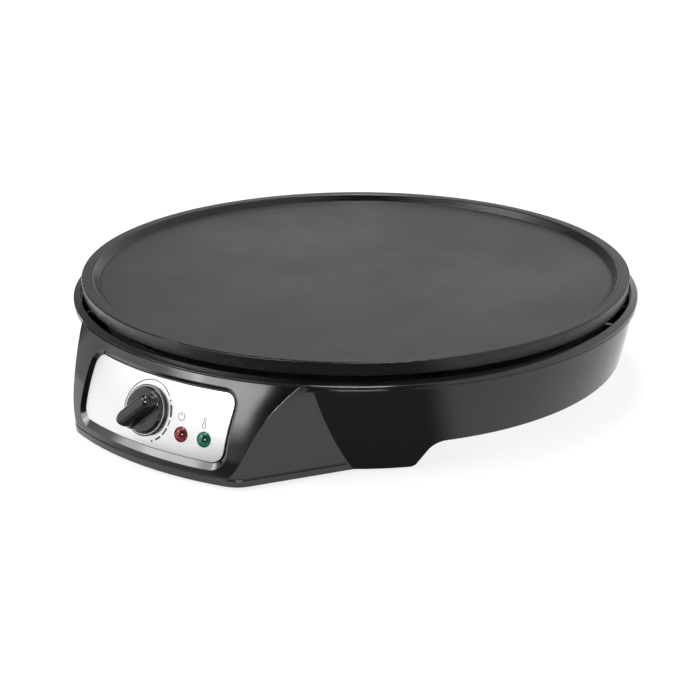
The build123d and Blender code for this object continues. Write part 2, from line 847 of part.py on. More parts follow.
# ---------------------------------------------------------------- pod cover
pod_cover_top_z = pod_cover_z + pod_cover_sheet
pod_boss_spots = [Location(world(side * pod_boss_x, pod_boss_y, 0)) for side in (-1, 1)]
with BuildPart() as pod_cover:
    add(pod_form(wall + clearance, pod_face_wall + clearance, pod_cover_z, pod_cover_top_z))
    with BuildSketch(level(pod_cover_z)):
        Circle(drum_arc_radius(pod_cover_top_z) + clearance)
    extrude(amount=pod_cover_sheet, mode=Mode.SUBTRACT)
    with Locations(*pod_boss_spots):
        hang(small_screw_radius + clearance, pod_cover_z, pod_cover_top_z, Mode.SUBTRACT)
finish(pod_cover, "pod_cover")

with BuildPart() as pod_cover_screws:
    add(screws_up(small_screw(small_screw_length), pod_boss_spots, pod_cover_z))
finish(pod_cover_screws, "pod_cover_screws")

# ---------------------------------------------------------------- control panel
with BuildPart() as control_panel:
    add(panel_prism(panel_inset))
    add(face_form(panel_depth, 0, rim_top_z), mode=Mode.INTERSECT)
    add(face_form(panel_depth + sheet, 0, rim_top_z), mode=Mode.SUBTRACT)
    with BuildSketch(knob_plane.offset(-wall)):
        Circle(shaft_hole_radius + clearance)
    extrude(amount=2 * wall, mode=Mode.SUBTRACT)
    for lamp_plane in lamp_planes:
        with BuildSketch(lamp_plane.offset(-wall)):
            Circle(lamp_stem_radius + seat_gap)
        extrude(amount=2 * wall, mode=Mode.SUBTRACT)
finish(control_panel, "control_panel")

# ---------------------------------------------------------------- thermostat
bracket_sheet = 1.2
bracket_back_z = thermostat_post_z - bracket_sheet
body_depth = 9.6
body_width = 28.0
body_height = 19.0
body_rise = 0.5                  # the body's middle above the shaft
body_corner = 2.0
bracket_screw_length = 5.6
bush_radius = 4.0
bush_front_z = -5.0
tab_x = 8.0
tab_length = 6.0
tab_rise = 6.0
body_back_z = bracket_back_z - body_depth

with BuildPart() as thermostat_bracket:
    with BuildSketch(knob_plane.offset(bracket_back_z)):
        with Locations((0, body_rise)):
            Rectangle(body_width, body_height)
        for ear_x, ear_y in thermostat_posts:
            with Locations((ear_x / 2, ear_y)):
                SlotOverall(abs(ear_x) + 2 * post_radius, 2 * post_radius)
        Circle(bush_radius + seat_gap, mode=Mode.SUBTRACT)
        with Locations(*thermostat_posts):
            Circle(small_screw_radius + clearance, mode=Mode.SUBTRACT)
    extrude(amount=bracket_sheet)
finish(thermostat_bracket, "thermostat_bracket")

with BuildPart() as thermostat_body:
    with BuildSketch(knob_plane.offset(body_back_z)):
        with Locations((0, body_rise)):
            RectangleRounded(body_width, body_height, body_corner)
    extrude(amount=body_depth)
    with BuildSketch(knob_plane.offset(bracket_back_z)):
        Circle(bush_radius)
    extrude(amount=bush_front_z - bracket_back_z)
    with BuildSketch(knob_plane.offset(body_back_z)):
        with Locations((-tab_x, tab_rise), (tab_x, tab_rise)):
            Rectangle(spade_width, sheet)
    extrude(amount=-tab_length)
    with BuildSketch(knob_plane.offset(-shaft_depth)):
        Circle(shaft_radius + seat_gap)
    extrude(amount=shaft_depth, mode=Mode.SUBTRACT)
finish(thermostat_body, "thermostat_body")

with BuildPart() as thermostat_screws:
    for ear_x, ear_y in thermostat_posts:
        seat = knob_plane.offset(bracket_back_z) * Location((ear_x, ear_y, 0))
        add(seat * small_screw(bracket_screw_length))
finish(thermostat_screws, "thermostat_screws")

grip_roof = 2.8                  # thickness of the grip over the shaft's end
shaft_start_z = -shaft_depth + clearance
bore_end_z = knob_lift + grip_height - grip_roof
with BuildPart() as thermostat_shaft:
    with BuildSketch(knob_plane.offset(shaft_start_z)):
        Circle(shaft_radius)
    extrude(amount=bore_end_z - clearance - shaft_start_z)
finish(thermostat_shaft, "thermostat_shaft")

# ---------------------------------------------------------------- control knob
knob_edge = 0.4
knob_cap_draft = 22.0
grip_lean = 0.3                  # the grip's sides and tip lean in by this much at the top,
grip_back_lean = 1.0             # and its back end by this much
grip_root = 0.9                  # curve between the grip and the disc
grip_crown = 1.6
disc_low_z = knob_lift + knob_skirt
disc_top_z = knob_lift + knob_cap
grip_top_z = knob_lift + grip_height


def at_height(z, reach=0.05):
    """Selector for the edges that lie at one height along the knob's axis."""
    def level_with(edge):
        return abs(knob_plane.to_local_coords(edge.position_at(0.5)).Z - z) < reach
    return level_with


def grip_outline(z, tip, back, width):
    """The grip's outline at one height: a slot from its back end to its pointing end."""
    reach = (tip - back) / 2
    turn = radians(grip_turn)
    with BuildSketch(knob_plane.offset(z)) as outline:
        with Locations((reach * cos(turn), reach * sin(turn))):
            SlotOverall(tip + back, width, rotation=grip_turn)
    return outline.sketch


with BuildPart() as grip:
    add(grip_outline(disc_low_z, grip_tip, grip_back, grip_width))
    add(
        grip_outline(
            grip_top_z,
            grip_tip - grip_lean,
            grip_back - grip_back_lean,
            grip_width - 2 * grip_lean,
        )
    )
    loft()
    fillet(grip.edges().filter_by(at_height(grip_top_z)), grip_crown)

with BuildPart() as control_knob:
    with BuildSketch(knob_plane.offset(knob_lift)):
        Circle(knob_radius)
    extrude(amount=knob_skirt)
    fillet(control_knob.edges().filter_by(at_height(disc_low_z)), knob_edge)
    with BuildSketch(knob_plane.offset(disc_low_z)):
        Circle(knob_cap_radius)
    extrude(amount=disc_top_z - disc_low_z, taper=knob_cap_draft)
    fillet(control_knob.edges().filter_by(at_height(disc_top_z)), knob_edge)
    add(grip.part)
    grip_roots = control_knob.edges().filter_by(at_height(disc_top_z)).sort_by(SortBy.LENGTH)[:-1]
    fillet(grip_roots, grip_root)
    with BuildSketch(knob_plane.offset(knob_lift)):
        Circle(shaft_radius + seat_gap)
    extrude(amount=bore_end_z - knob_lift, mode=Mode.SUBTRACT)
finish(control_knob, "control_knob")

# ---------------------------------------------------------------- lamps
lens_length = 7.0
lens_bore = 2.2
lens_crown = 2.2
lens_top_gap = 1.0               # between the lamp's tip and the lens's base plane
nut_radius = 5.5
nut_z = -3.3
nut_height = 1.6
lamp_body_depth = 4.0
nib_radius = 1.9
lamp_names = ("red", "green")


def lens_form(plane):
    """Domed lens with a hollow stem."""
    with BuildPart() as lens:
        with BuildSketch(plane):
            Circle(lamp_dome_radius)
        extrude(amount=lamp_dome_height)
        top = plane.offset(lamp_dome_height).origin
        fillet(lens.faces().sort_by_distance(top)[0].edges(), lens_crown)
        with BuildSketch(plane):
            Circle(lamp_stem_radius)
        extrude(amount=-lens_length)
        with BuildSketch(plane.offset(-lens_length)):
            Circle(lens_bore)
        extrude(amount=lens_length, mode=Mode.SUBTRACT)
    return lens.part


def lamp_form(plane):
    """Neon lamp behind the lens, its bulb up inside the lens."""
    with BuildPart() as lamp:
        with BuildSketch(plane.offset(-lens_length)):
            Circle(lamp_stem_radius)
        extrude(amount=-lamp_body_depth)
        with BuildSketch(plane.offset(-lens_length)):
            Circle(nib_radius)
        extrude(amount=lens_length - lens_top_gap)
    return lamp.part


for colour, lamp_plane in zip(lamp_names, lamp_planes):
    with BuildPart() as lamp_lens:
        add(lens_form(lamp_plane))
    finish(lamp_lens, colour + "_lamp_lens")
    with BuildPart() as lamp_body:
        add(lamp_form(lamp_plane))
    finish(lamp_body, colour + "_lamp_body")

with BuildPart() as lamp_nuts:
    for lamp_plane in lamp_planes:
        with BuildSketch(lamp_plane.offset(nut_z)):
            Circle(nut_radius)
            Circle(lamp_stem_radius + seat_gap, mode=Mode.SUBTRACT)
        extrude(amount=-nut_height)
finish(lamp_nuts, "lamp_nuts")

# ---------------------------------------------------------------- feeler, fuse and clips
capillary_radius = 1.0
wire_radius = 1.1
small_clip_front = 4.5


def wire_form(points, bend, radius):
    """Round wire or tube: straight runs joined by bends, through points from the axis."""
    route = [world(*point) for point in points]
    with BuildPart() as wire:
        with BuildLine() as path:
            FilletPolyline(*route, radius=bend)
        with BuildSketch(Plane(origin=route[0], z_dir=route[1] - route[0])):
            Circle(radius)
        sweep(path=path.wires()[0])
    return wire.part


def clip_form(part_y, seat_z):
    """Flat clip that holds a part up against the plate, with one screw hole."""
    boss_y = part_y - small_boss_back
    back_y = part_y + small_clip_front
    front_y = boss_y - small_clip_front
    with BuildPart() as clip:
        with BuildSketch(level(seat_z)):
            with Locations((0, (front_y + back_y) / 2)):
                Rectangle(clip_width, back_y - front_y)
            with Locations((0, boss_y)):
                Circle(small_screw_radius + clearance, mode=Mode.SUBTRACT)
        extrude(amount=-clip_sheet)
    return clip.part


def thermostat_point(x, y, z):
    """Point in the knob's own plane, as a point from the drum's axis."""
    return knob_plane.from_local_coords(Vector(x, y, z)) - Vector(0, drum_axis_y, 0)


with BuildPart() as thermostat_bulb:
    with BuildSketch(Plane(origin=world(-bulb_length / 2, bulb_y, bulb_z), z_dir=(1, 0, 0))):
        Circle(bulb_radius)
    extrude(amount=bulb_length)
    fillet(thermostat_bulb.faces().filter_by(Axis.X).edges(), bulb_end_curve)
finish(thermostat_bulb, "thermostat_bulb")

capillary_low_z = 31.0
capillary_lead = 18.0            # straight run into the thermostat's side
capillary_run = 28.0
capillary_bend = 5.0
capillary_rise = 4.0             # where it enters, above the shaft
body_mid_z = (bracket_back_z + body_back_z) / 2
capillary_end = thermostat_point(-body_width / 2, capillary_rise, body_mid_z)
with BuildPart() as thermostat_capillary:
    add(
        wire_form(
            [
                (-bulb_length / 2, bulb_y, bulb_z),
                (capillary_x, bulb_y, bulb_z),
                (capillary_x, bulb_y, capillary_low_z),
                (capillary_x, capillary_end.Y + capillary_run, capillary_low_z),
                (capillary_end.X - capillary_lead, capillary_end.Y, capillary_end.Z),
                tuple(capillary_end),
            ],
            capillary_bend,
            capillary_radius,
        )
    )
finish(thermostat_capillary, "thermostat_capillary")

with BuildPart() as bulb_clip:
    add(clip_form(bulb_y, bulb_clip_z))
finish(bulb_clip, "bulb_clip")

with BuildPart() as thermal_fuse:
    with BuildSketch(Plane(origin=world(-fuse_length / 2, fuse_y, fuse_z), z_dir=(1, 0, 0))):
        Circle(fuse_radius)
    extrude(amount=fuse_length)
    fillet(thermal_fuse.faces().filter_by(Axis.X).edges(), fuse_end_curve)
finish(thermal_fuse, "thermal_fuse")

with BuildPart() as fuse_clip:
    add(clip_form(fuse_y, fuse_clip_z))
finish(fuse_clip, "fuse_clip")

with BuildPart() as clip_screws:
    for spot, boss_z in small_bosses:
        screw_seat = boss_z - clip_sheet
        add(screws_up(small_screw(plate_under_z - screw_seat), [Location(spot)], screw_seat))
finish(clip_screws, "clip_screws")

# ---------------------------------------------------------------- terminal block
block_top_z = floor_top_z + block_size[2]
block_wire_height = 7.8
block_wire_z = floor_top_z + block_wire_height
block_wire_x = 13.0
block_corner = 1.0
block_clamp_back = 4.0           # the clamping screws' wells, behind the block's middle
block_clamp_depth = 1.5
block_screw_length = 16.0
earth_screw_length = 5.0
block_front_y = block_y - block_size[1] / 2
earth_ring_radius = 3.6

with BuildPart() as terminal_block:
    with Locations(world(0, block_y, floor_top_z)):
        Box(*block_size, align=(Align.CENTER, Align.CENTER, Align.MIN))
    chamfer(terminal_block.edges().filter_by(Axis.Z), block_corner)
    with Locations(world(0, block_y, 0)):
        hang(block_screw_radius + seat_gap, floor_top_z, block_top_z, Mode.SUBTRACT)
    clamp_y = block_y + block_clamp_back
    with Locations(*[world(x, clamp_y, 0) for x in (-block_wire_x, block_wire_x)]):
        hang(small_head_radius, block_top_z - block_clamp_depth, block_top_z, Mode.SUBTRACT)
finish(terminal_block, "terminal_block")

with BuildPart() as block_screw:
    add(
        Location(world(0, block_y, block_top_z), (180, 0, 0))
        * screw_form(
            floor_screw_head_radius,
            floor_screw_head_height,
            block_screw_radius,
            block_screw_length,
        )
    )
finish(block_screw, "block_screw")

with BuildPart() as earth_screw:
    add(
        Location(world(0, earth_screw_y, floor_top_z + sheet), (180, 0, 0))
        * screw_form(
            floor_screw_head_radius,
            floor_screw_head_height,
            block_screw_radius,
            earth_screw_length,
        )
    )
finish(earth_screw, "earth_screw")

# ---------------------------------------------------------------- wires
fuse_end = fuse_length / 2
wire_lead = 14.0                 # straight run out of the terminal block
neutral_x = 34.0
neutral_run = 30.0               # the neutral wire turns in this far behind the element's leg
tab_lead = 10.0                  # straight run into the thermostat's tabs
wire_bend = 6.0
tight_bend = 4.0
wire_rise = 2.4                  # the low runs' middle above the floor
low_wire_z = floor_top_z + wire_rise
tab_tip = thermostat_point(tab_x, tab_rise, body_back_z - tab_length)
tab_run = thermostat_point(tab_x, tab_rise, body_back_z - tab_length - tab_lead)
leg = leg_place(1)
spade_low_z = leg_low_z - spade_height

with BuildPart() as live_wire:
    add(
        wire_form(
            [
                (-block_wire_x, block_front_y, block_wire_z),
                (-block_wire_x, block_front_y - wire_lead, block_wire_z),
                (-loop_x, block_front_y - 2 * wire_lead, block_wire_z),
                (-loop_x, fuse_y, block_wire_z),
                (-loop_x, fuse_y, fuse_z),
                (-fuse_end, fuse_y, fuse_z),
            ],
            wire_bend,
            wire_radius,
        )
    )
finish(live_wire, "live_wire")

with BuildPart() as fuse_wire:
    add(
        wire_form(
            [
                (fuse_end, fuse_y, fuse_z),
                (loop_x, fuse_y, fuse_z),
                (loop_x, fuse_y, block_wire_z),
                (loop_x, leg.Y, block_wire_z),
                tuple(tab_run),
                tuple(tab_tip),
            ],
            wire_bend,
            wire_radius,
        )
    )
finish(fuse_wire, "fuse_wire")

with BuildPart() as heater_wire:
    add(
        wire_form(
            [
                (-leg.X, leg.Y, spade_low_z),
                (-leg.X, leg.Y, low_wire_z),
                (-tab_run.X, tab_run.Y, tab_run.Z),
                (-tab_tip.X, tab_tip.Y, tab_tip.Z),
            ],
            tight_bend,
            wire_radius,
        )
    )
finish(heater_wire, "heater_wire")

with BuildPart() as neutral_wire:
    add(
        wire_form(
            [
                (block_wire_x, block_front_y, block_wire_z),
                (block_wire_x, block_front_y - wire_lead, block_wire_z),
                (neutral_x, block_front_y - 2.5 * wire_lead, low_wire_z),
                (neutral_x, leg.Y + neutral_run, low_wire_z),
                (leg.X, leg.Y, low_wire_z),
                (leg.X, leg.Y, spade_low_z),
            ],
            tight_bend,
            wire_radius,
        )
    )
finish(neutral_wire, "neutral_wire")

barrel_radius = 1.5
barrel_length = 5.0
barrel_back = 2.5                # the barrel starts this far behind the earth screw
barrel_overlap = 2.0             # the wire's end inside the barrel
barrel_y = earth_screw_y + barrel_back
barrel_z = floor_top_z + barrel_radius
with BuildPart() as earth_wire:
    add(
        wire_form(
            [
                (0, block_front_y, block_wire_z),
                (0, block_front_y - wire_lead, block_wire_z),
                (0, block_front_y - 2 * wire_lead, barrel_z),
                (0, barrel_y + barrel_length - barrel_overlap, barrel_z),
            ],
            wire_bend,
            wire_radius,
        )
    )
    with BuildSketch(level(floor_top_z)):
        with Locations((0, earth_screw_y)):
            Circle(earth_ring_radius)
        with Locations((0, barrel_y + barrel_length / 2 - barrel_radius)):
            Rectangle(2 * barrel_radius, barrel_length)
    extrude(amount=sheet)
    with BuildSketch(Plane(origin=world(0, barrel_y, barrel_z), z_dir=(0, 1, 0))):
        Circle(barrel_radius)
    extrude(amount=barrel_length)
    with Locations(world(0, earth_screw_y, 0)):
        hang(block_screw_radius + seat_gap, floor_top_z, floor_top_z + sheet, Mode.SUBTRACT)
        hang(floor_screw_head_radius + clearance, floor_top_z + sheet, block_top_z, Mode.SUBTRACT)
finish(earth_wire, "earth_wire")

lamp_wire_radius = 0.7
lamp_pin_x = 1.5
lamp_lead = 3.0                  # straight end of a lamp's wire at the tab it joins
lamp_run_inset = 6.0             # the long wire's bend inside the drum's waist
lamp_run_y = lamp_run_inset - drum_waist_radius
lamp_run_rise = 0.9              # its clearance above the floor there
lamp_wire_drop = 3.5             # straight run behind a lamp
lamp_wire_bend = 1.6
lamp_joint_y = -2.0              # where a lamp's wire meets the thermostat, from the shaft
spade_mid_z = spade_low_z + spade_height / 3
lamp_back_z = -lens_length - lamp_body_depth
lamp_run_z = lamp_back_z - lamp_wire_drop
body_side = thermostat_point(body_width / 2, lamp_joint_y, body_mid_z)


def lamp_point(plane, x, z):
    """Point behind a lamp, as a point from the drum's axis."""
    return tuple(plane.from_local_coords(Vector(x, 0, z)) - Vector(0, drum_axis_y, 0))


red_plane, green_plane = lamp_planes
lamp_routes = [
    [
        lamp_point(red_plane, -lamp_pin_x, lamp_back_z),
        lamp_point(red_plane, -lamp_pin_x, lamp_run_z),
        tuple(body_side + Vector(lamp_lead, 0, 0)),
        tuple(body_side),
    ],
    [
        lamp_point(red_plane, lamp_pin_x, lamp_back_z),
        lamp_point(red_plane, lamp_pin_x, lamp_run_z),
        lamp_point(green_plane, -lamp_pin_x, lamp_run_z),
        lamp_point(green_plane, -lamp_pin_x, lamp_back_z),
    ],
    [
        lamp_point(green_plane, lamp_pin_x, lamp_back_z),
        lamp_point(green_plane, lamp_pin_x, lamp_run_z),
        (neutral_x, lamp_run_y, floor_top_z + lamp_wire_radius + lamp_run_rise),
        (leg.X + spade_width / 2 + lamp_lead, leg.Y, spade_mid_z),
        (leg.X + spade_width / 2, leg.Y, spade_mid_z),
    ],
]
with BuildPart() as lamp_wires:
    for route in lamp_routes:
        add(wire_form(route, lamp_wire_bend, lamp_wire_radius))
finish(lamp_wires, "lamp_wires")

# ---------------------------------------------------------------- cord gland and clamp
gland_flange = 2.4
gland_length = 14.0
gland_edge = 0.8
gland_out_y = drum_axis_y + rim_radius - clearance
barb_radius = 8.2
barb_length = 2.0
barb_back = 1.0                  # the barb stands this far from the gland's inner end
clamp_sheet = 2.2
clamp_width = 8.0
clamp_spots = [Location(world(side * clamp_post_x, clamp_post_y, 0)) for side in (-1, 1)]
gland_rear = Plane(origin=(0, gland_out_y, gland_z), x_dir=(-1, 0, 0), z_dir=(0, 1, 0))

with BuildPart() as cord_gland:
    with BuildSketch(gland_rear):
        Circle(gland_radius)
    extrude(amount=-gland_length)
    with BuildSketch(gland_rear):
        Circle(gland_flange_radius)
    extrude(amount=-gland_flange)
    fillet(cord_gland.faces().sort_by(Axis.Y)[-1].edges(), gland_edge)
    with BuildSketch(gland_rear.offset(-gland_length + barb_back)):
        Circle(barb_radius)
    extrude(amount=barb_length)
    with BuildSketch(gland_rear):
        Circle(cord_radius)
    extrude(amount=-gland_length, mode=Mode.SUBTRACT)
finish(cord_gland, "cord_gland")

with BuildPart() as cord_clamp:
    with BuildSketch(level(clamp_seat_z)):
        with Locations((0, clamp_post_y)):
            SlotOverall(2 * clamp_post_x + clamp_width, clamp_width)
    extrude(amount=-clamp_sheet)
    with Locations(*clamp_spots):
        hang(
            small_screw_radius + clearance,
            clamp_seat_z - clamp_sheet,
            clamp_seat_z,
            Mode.SUBTRACT,
        )
finish(cord_clamp, "cord_clamp")

with BuildPart() as cord_clamp_screws:
    add(screws_up(small_screw(small_screw_length), clamp_spots, clamp_seat_z - clamp_sheet))
finish(cord_clamp_screws, "cord_clamp_screws")

# ---------------------------------------------------------------- feet
foot_edge = 1.0
with BuildPart() as rubber_feet:
    with BuildSketch(level(0)):
        with Locations(*[place(foot_from_axis, a) for a in foot_angles]):
            Circle(foot_radius)
    extrude(amount=table_gap + foot_recess)
    fillet(rubber_feet.faces().group_by(Axis.Z)[0].edges(), foot_edge)
    with BuildSketch(level(table_gap + foot_recess)):
        with Locations(*[place(foot_from_axis, a) for a in foot_angles]):
            Circle(foot_stem_radius)
    extrude(amount=foot_stem_length)
finish(rubber_feet, "rubber_feet")
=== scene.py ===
import bpy
import bmesh
import json
import math
from mathutils import Matrix, Vector
from mathutils.bvhtree import BVHTree


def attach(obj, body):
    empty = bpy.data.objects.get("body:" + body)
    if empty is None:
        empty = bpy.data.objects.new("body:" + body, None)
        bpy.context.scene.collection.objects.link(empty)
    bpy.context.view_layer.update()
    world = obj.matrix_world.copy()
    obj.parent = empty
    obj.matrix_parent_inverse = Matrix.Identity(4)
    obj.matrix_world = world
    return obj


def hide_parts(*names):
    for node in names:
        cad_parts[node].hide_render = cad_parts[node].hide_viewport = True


# An electric crepe maker, told in the order in which it is put together.  Metres, +Z up, the
# control pod towards -Y.  The axis of the round drum stands a little behind the origin.
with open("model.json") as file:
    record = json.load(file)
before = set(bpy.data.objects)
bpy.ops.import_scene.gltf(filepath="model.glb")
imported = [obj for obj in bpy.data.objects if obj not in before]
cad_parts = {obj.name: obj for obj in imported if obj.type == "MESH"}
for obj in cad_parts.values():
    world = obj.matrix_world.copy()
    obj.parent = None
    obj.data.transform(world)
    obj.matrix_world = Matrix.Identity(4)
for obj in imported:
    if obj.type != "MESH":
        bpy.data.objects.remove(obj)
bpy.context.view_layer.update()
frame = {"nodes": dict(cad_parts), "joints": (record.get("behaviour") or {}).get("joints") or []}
axis_y = 0.012155

# ---------------------------------------------------------------- table, light and camera
# A white table top that runs on without an edge, in a white studio that is dim where the viewer
# stands.  Three screens and a thin strip of light are there to be mirrored in the gloss of the
# pod, two soft boxes light the rest, and the camera looks down from the front right.
scene = bpy.context.scene
scene.view_settings.view_transform = "Standard"


def feed(tree, socket, value):
    """Set a socket to a number, vector or colour, or link it to another node's socket."""
    if isinstance(value, bpy.types.NodeSocket):
        tree.links.new(value, socket)
    else:
        socket.default_value = value


def new_material(name):
    """An empty node material with its tree, and the socket that its surface goes into."""
    material = bpy.data.materials.new(name)
    material.use_nodes = True
    tree = material.node_tree
    tree.nodes.clear()
    output = tree.nodes.new("ShaderNodeOutputMaterial")
    return material, tree, output.inputs["Surface"]


def add_math(tree, kind, first, second=0.0, third=0.0):
    """Math node; each side may be a number or a socket."""
    node = tree.nodes.new("ShaderNodeMath")
    node.operation = kind
    for socket, value in zip(node.inputs, (first, second, third)):
        feed(tree, socket, value)
    return node.outputs[0]


def vector_math(tree, kind, first, second=(0, 0, 0)):
    """Vector Math node; a length comes out as a number, anything else as a vector."""
    node = tree.nodes.new("ShaderNodeVectorMath")
    node.operation = kind
    feed(tree, node.inputs[0], first)
    feed(tree, node.inputs[1], second)
    return node.outputs["Value" if kind == "LENGTH" else "Vector"]


def soft_step(tree, value, start, end):
    """Rises smoothly from 0 at the start to 1 at the end; the start may lie above the end."""
    node = tree.nodes.new("ShaderNodeMapRange")
    node.interpolation_type = "SMOOTHSTEP"
    node.inputs["From Min"].default_value = start
    node.inputs["From Max"].default_value = end
    tree.links.new(value, node.inputs["Value"])
    return node.outputs[0]


def soft_band(tree, value, low, high, soft):
    """1 between two limits, fading to 0 within a soft margin outside them."""
    rise = soft_step(tree, value, low - soft, low)
    return add_math(tree, "MULTIPLY", rise, soft_step(tree, value, high + soft, high))


def add_range(tree, value, low, high, to_low, to_high):
    """Map Range node; the last two may be numbers or sockets."""
    node = tree.nodes.new("ShaderNodeMapRange")
    node.inputs["From Min"].default_value = low
    node.inputs["From Max"].default_value = high
    tree.links.new(value, node.inputs["Value"])
    feed(tree, node.inputs["To Min"], to_low)
    feed(tree, node.inputs["To Max"], to_high)
    return node.outputs[0]


def mix_values(tree, share, first, second):
    """Mix of two numbers or sockets by a share."""
    node = tree.nodes.new("ShaderNodeMix")
    for socket, value in zip((node.inputs[0], node.inputs[2], node.inputs[3]), (share, first, second)):
        feed(tree, socket, value)
    return node.outputs[0]


def bearing(tree, point):
    """Bearing in degrees of a point or direction, from the front towards +X, and its height."""
    parts = tree.nodes.new("ShaderNodeSeparateXYZ")
    tree.links.new(point, parts.inputs[0])
    front = add_math(tree, "MULTIPLY", parts.outputs["Y"], -1.0)
    turn = add_math(tree, "ARCTAN2", parts.outputs["X"], front)
    return add_math(tree, "DEGREES", turn), parts.outputs["Z"]


def seen_directly(tree):
    """1 for rays that come straight from the camera or through something clear, and else 0."""
    path = tree.nodes.new("ShaderNodeLightPath")
    return add_math(tree, "MAXIMUM", path.outputs["Is Camera Ray"], path.outputs["Is Transmission Ray"])


table_reach, table_squares = 6.0, 8
table_mesh = bmesh.new()
bmesh.ops.create_grid(table_mesh, x_segments=table_squares, y_segments=table_squares, size=table_reach)
table_data = bpy.data.meshes.new("table")
table_mesh.to_mesh(table_data)
table_mesh.free()
table = bpy.data.objects.new("table", table_data)
scene.collection.objects.link(table)

# The table keeps the object's shadow.  Seen directly, it is partly plain white.  In a mirror it
# glows: brightly below the screens, little on the viewer's side, with a low sheen by the pod.
dim_from, dim_to, dim_soft = 4.0, 55.0, 10.0            # the viewer's side, by bearings in degrees
near_dim_from = -10.0                                   # close to the pod it reaches further left,
near_dim_reach, near_dim_fade = 0.27, 0.04              # up to this far from the origin
pool_from, pool_to, pool_soft = -68.0, -14.0, 6.0       # the bright part, by bearings
sheen_from, sheen_to, sheen_soft = 0.53, 0.72, 0.1      # how edge on the table is looked at
sheen_reach, sheen_fade = 0.23, 0.015                   # and how far from the origin
open_glow, pool_glow, dim_glow, sheen_glow = 0.95, 0.55, 0.1, 1.1
plain_share, mirrored_share = 0.76, 0.95
table_white = 0.97
white, tree, output = new_material("white_table")
lit = tree.nodes.new("ShaderNodeBsdfDiffuse")
lit.inputs["Color"].default_value = (table_white, table_white, table_white, 1)
glow = tree.nodes.new("ShaderNodeEmission")
glow.inputs["Color"].default_value = (1, 1, 1, 1)
spot = tree.nodes.new("ShaderNodeTexCoord")
way, _ = bearing(tree, spot.outputs["Object"])
reach = vector_math(tree, "LENGTH", spot.outputs["Object"])
near = soft_step(tree, reach, near_dim_reach + near_dim_fade, near_dim_reach)
dim_near = add_math(tree, "MULTIPLY", soft_band(tree, way, near_dim_from, dim_to, dim_soft), near)
dim = add_math(tree, "MAXIMUM", soft_band(tree, way, dim_from, dim_to, dim_soft), dim_near)
pool = soft_band(tree, way, pool_from, pool_to, pool_soft)
bright = add_math(tree, "MULTIPLY_ADD", pool, pool_glow, open_glow)
facing = tree.nodes.new("ShaderNodeLayerWeight")
facing.inputs["Blend"].default_value = 0.5
low_sheen = soft_band(tree, facing.outputs["Facing"], sheen_from, sheen_to, sheen_soft)
by_pod = soft_step(tree, reach, sheen_reach + sheen_fade, sheen_reach)
low_sheen = add_math(tree, "MULTIPLY", low_sheen, by_pod)
dull = add_math(tree, "MULTIPLY_ADD", low_sheen, sheen_glow, dim_glow)
seen = seen_directly(tree)
mirrored = tree.nodes.new("ShaderNodeLightPath").outputs["Is Glossy Ray"]
tree.links.new(mix_values(tree, seen, mix_values(tree, dim, bright, dull), 1.0), glow.inputs["Strength"])
mirrored_glow = add_math(tree, "MULTIPLY", mirrored, mirrored_share)
mix = tree.nodes.new("ShaderNodeMixShader")
tree.links.new(add_math(tree, "MULTIPLY_ADD", seen, plain_share, mirrored_glow), mix.inputs[0])
tree.links.new(lit.outputs[0], mix.inputs[1])
tree.links.new(glow.outputs[0], mix.inputs[2])
tree.links.new(mix.outputs[0], output)
table_data.materials.append(white)

# The room, by the bearing of a direction in degrees and by its rise, the sine of its elevation.
# It is dim on the viewer's side, less so far to the left, and always bright overhead.
left_from, left_to, left_soft, left_dimming = -128.0, -92.0, 8.0, 0.7
overhead_from, overhead_to = 0.93, 0.99
dim_light, open_light = 0.02, 0.85
world = bpy.data.worlds.new("white_room")
scene.world = world
world.use_nodes = True
tree = world.node_tree
tree.nodes.clear()
room = tree.nodes.new("ShaderNodeBackground")
room.inputs["Color"].default_value = (1, 1, 1, 1)
output = tree.nodes.new("ShaderNodeOutputWorld")
spot = tree.nodes.new("ShaderNodeTexCoord")
way, rise = bearing(tree, spot.outputs["Generated"])
dim_left = soft_band(tree, way, left_from, left_to, left_soft)
dim_left = add_math(tree, "MULTIPLY", dim_left, left_dimming)
dim = add_math(tree, "MAXIMUM", soft_band(tree, way, dim_from, dim_to, dim_soft), dim_left)
overhead = soft_step(tree, rise, overhead_from, overhead_to)
open_share = add_math(tree, "MAXIMUM", add_math(tree, "SUBTRACT", 1.0, dim), overhead)
light = add_range(tree, open_share, 0.0, 1.0, dim_light, open_light)


def add_screen(tree, light, across, upward, strength):
    """The room's light with a lit screen in it, from the screen's masks across and upward."""
    return add_math(tree, "MULTIPLY_ADD", add_math(tree, "MULTIPLY", across, upward), strength, light)


# The wide screen, to the left of the pod, is low and weak.
wide_across, wide_upward, wide_strength = (-70.0, -14.0, 8.0), (-0.1, 0.62, 0.1), 0.6
across, upward = soft_band(tree, way, *wide_across), soft_band(tree, rise, *wide_upward)
light = add_screen(tree, light, across, upward, wide_strength)

# The tall narrow screen, just left of the front, widens to the left above a certain height.
tall_left, tall_right, tall_bottom, tall_top = (-14.0, -8.0), (0.0, -5.0), (0.12, 0.45), (0.77, 0.69)
lean_above, lean = 0.5, 68.0
tall_strength = 5.8
above = add_math(tree, "MAXIMUM", add_math(tree, "SUBTRACT", rise, lean_above), 0.0)
leaning_way = add_math(tree, "MULTIPLY_ADD", above, lean, way)
left_edge, right_edge = soft_step(tree, leaning_way, *tall_left), soft_step(tree, way, *tall_right)
across = add_math(tree, "MULTIPLY", left_edge, right_edge)
bottom_edge, top_edge = soft_step(tree, rise, *tall_bottom), soft_step(tree, rise, *tall_top)
upward = add_math(tree, "MULTIPLY", bottom_edge, top_edge)
light = add_screen(tree, light, across, upward, tall_strength)

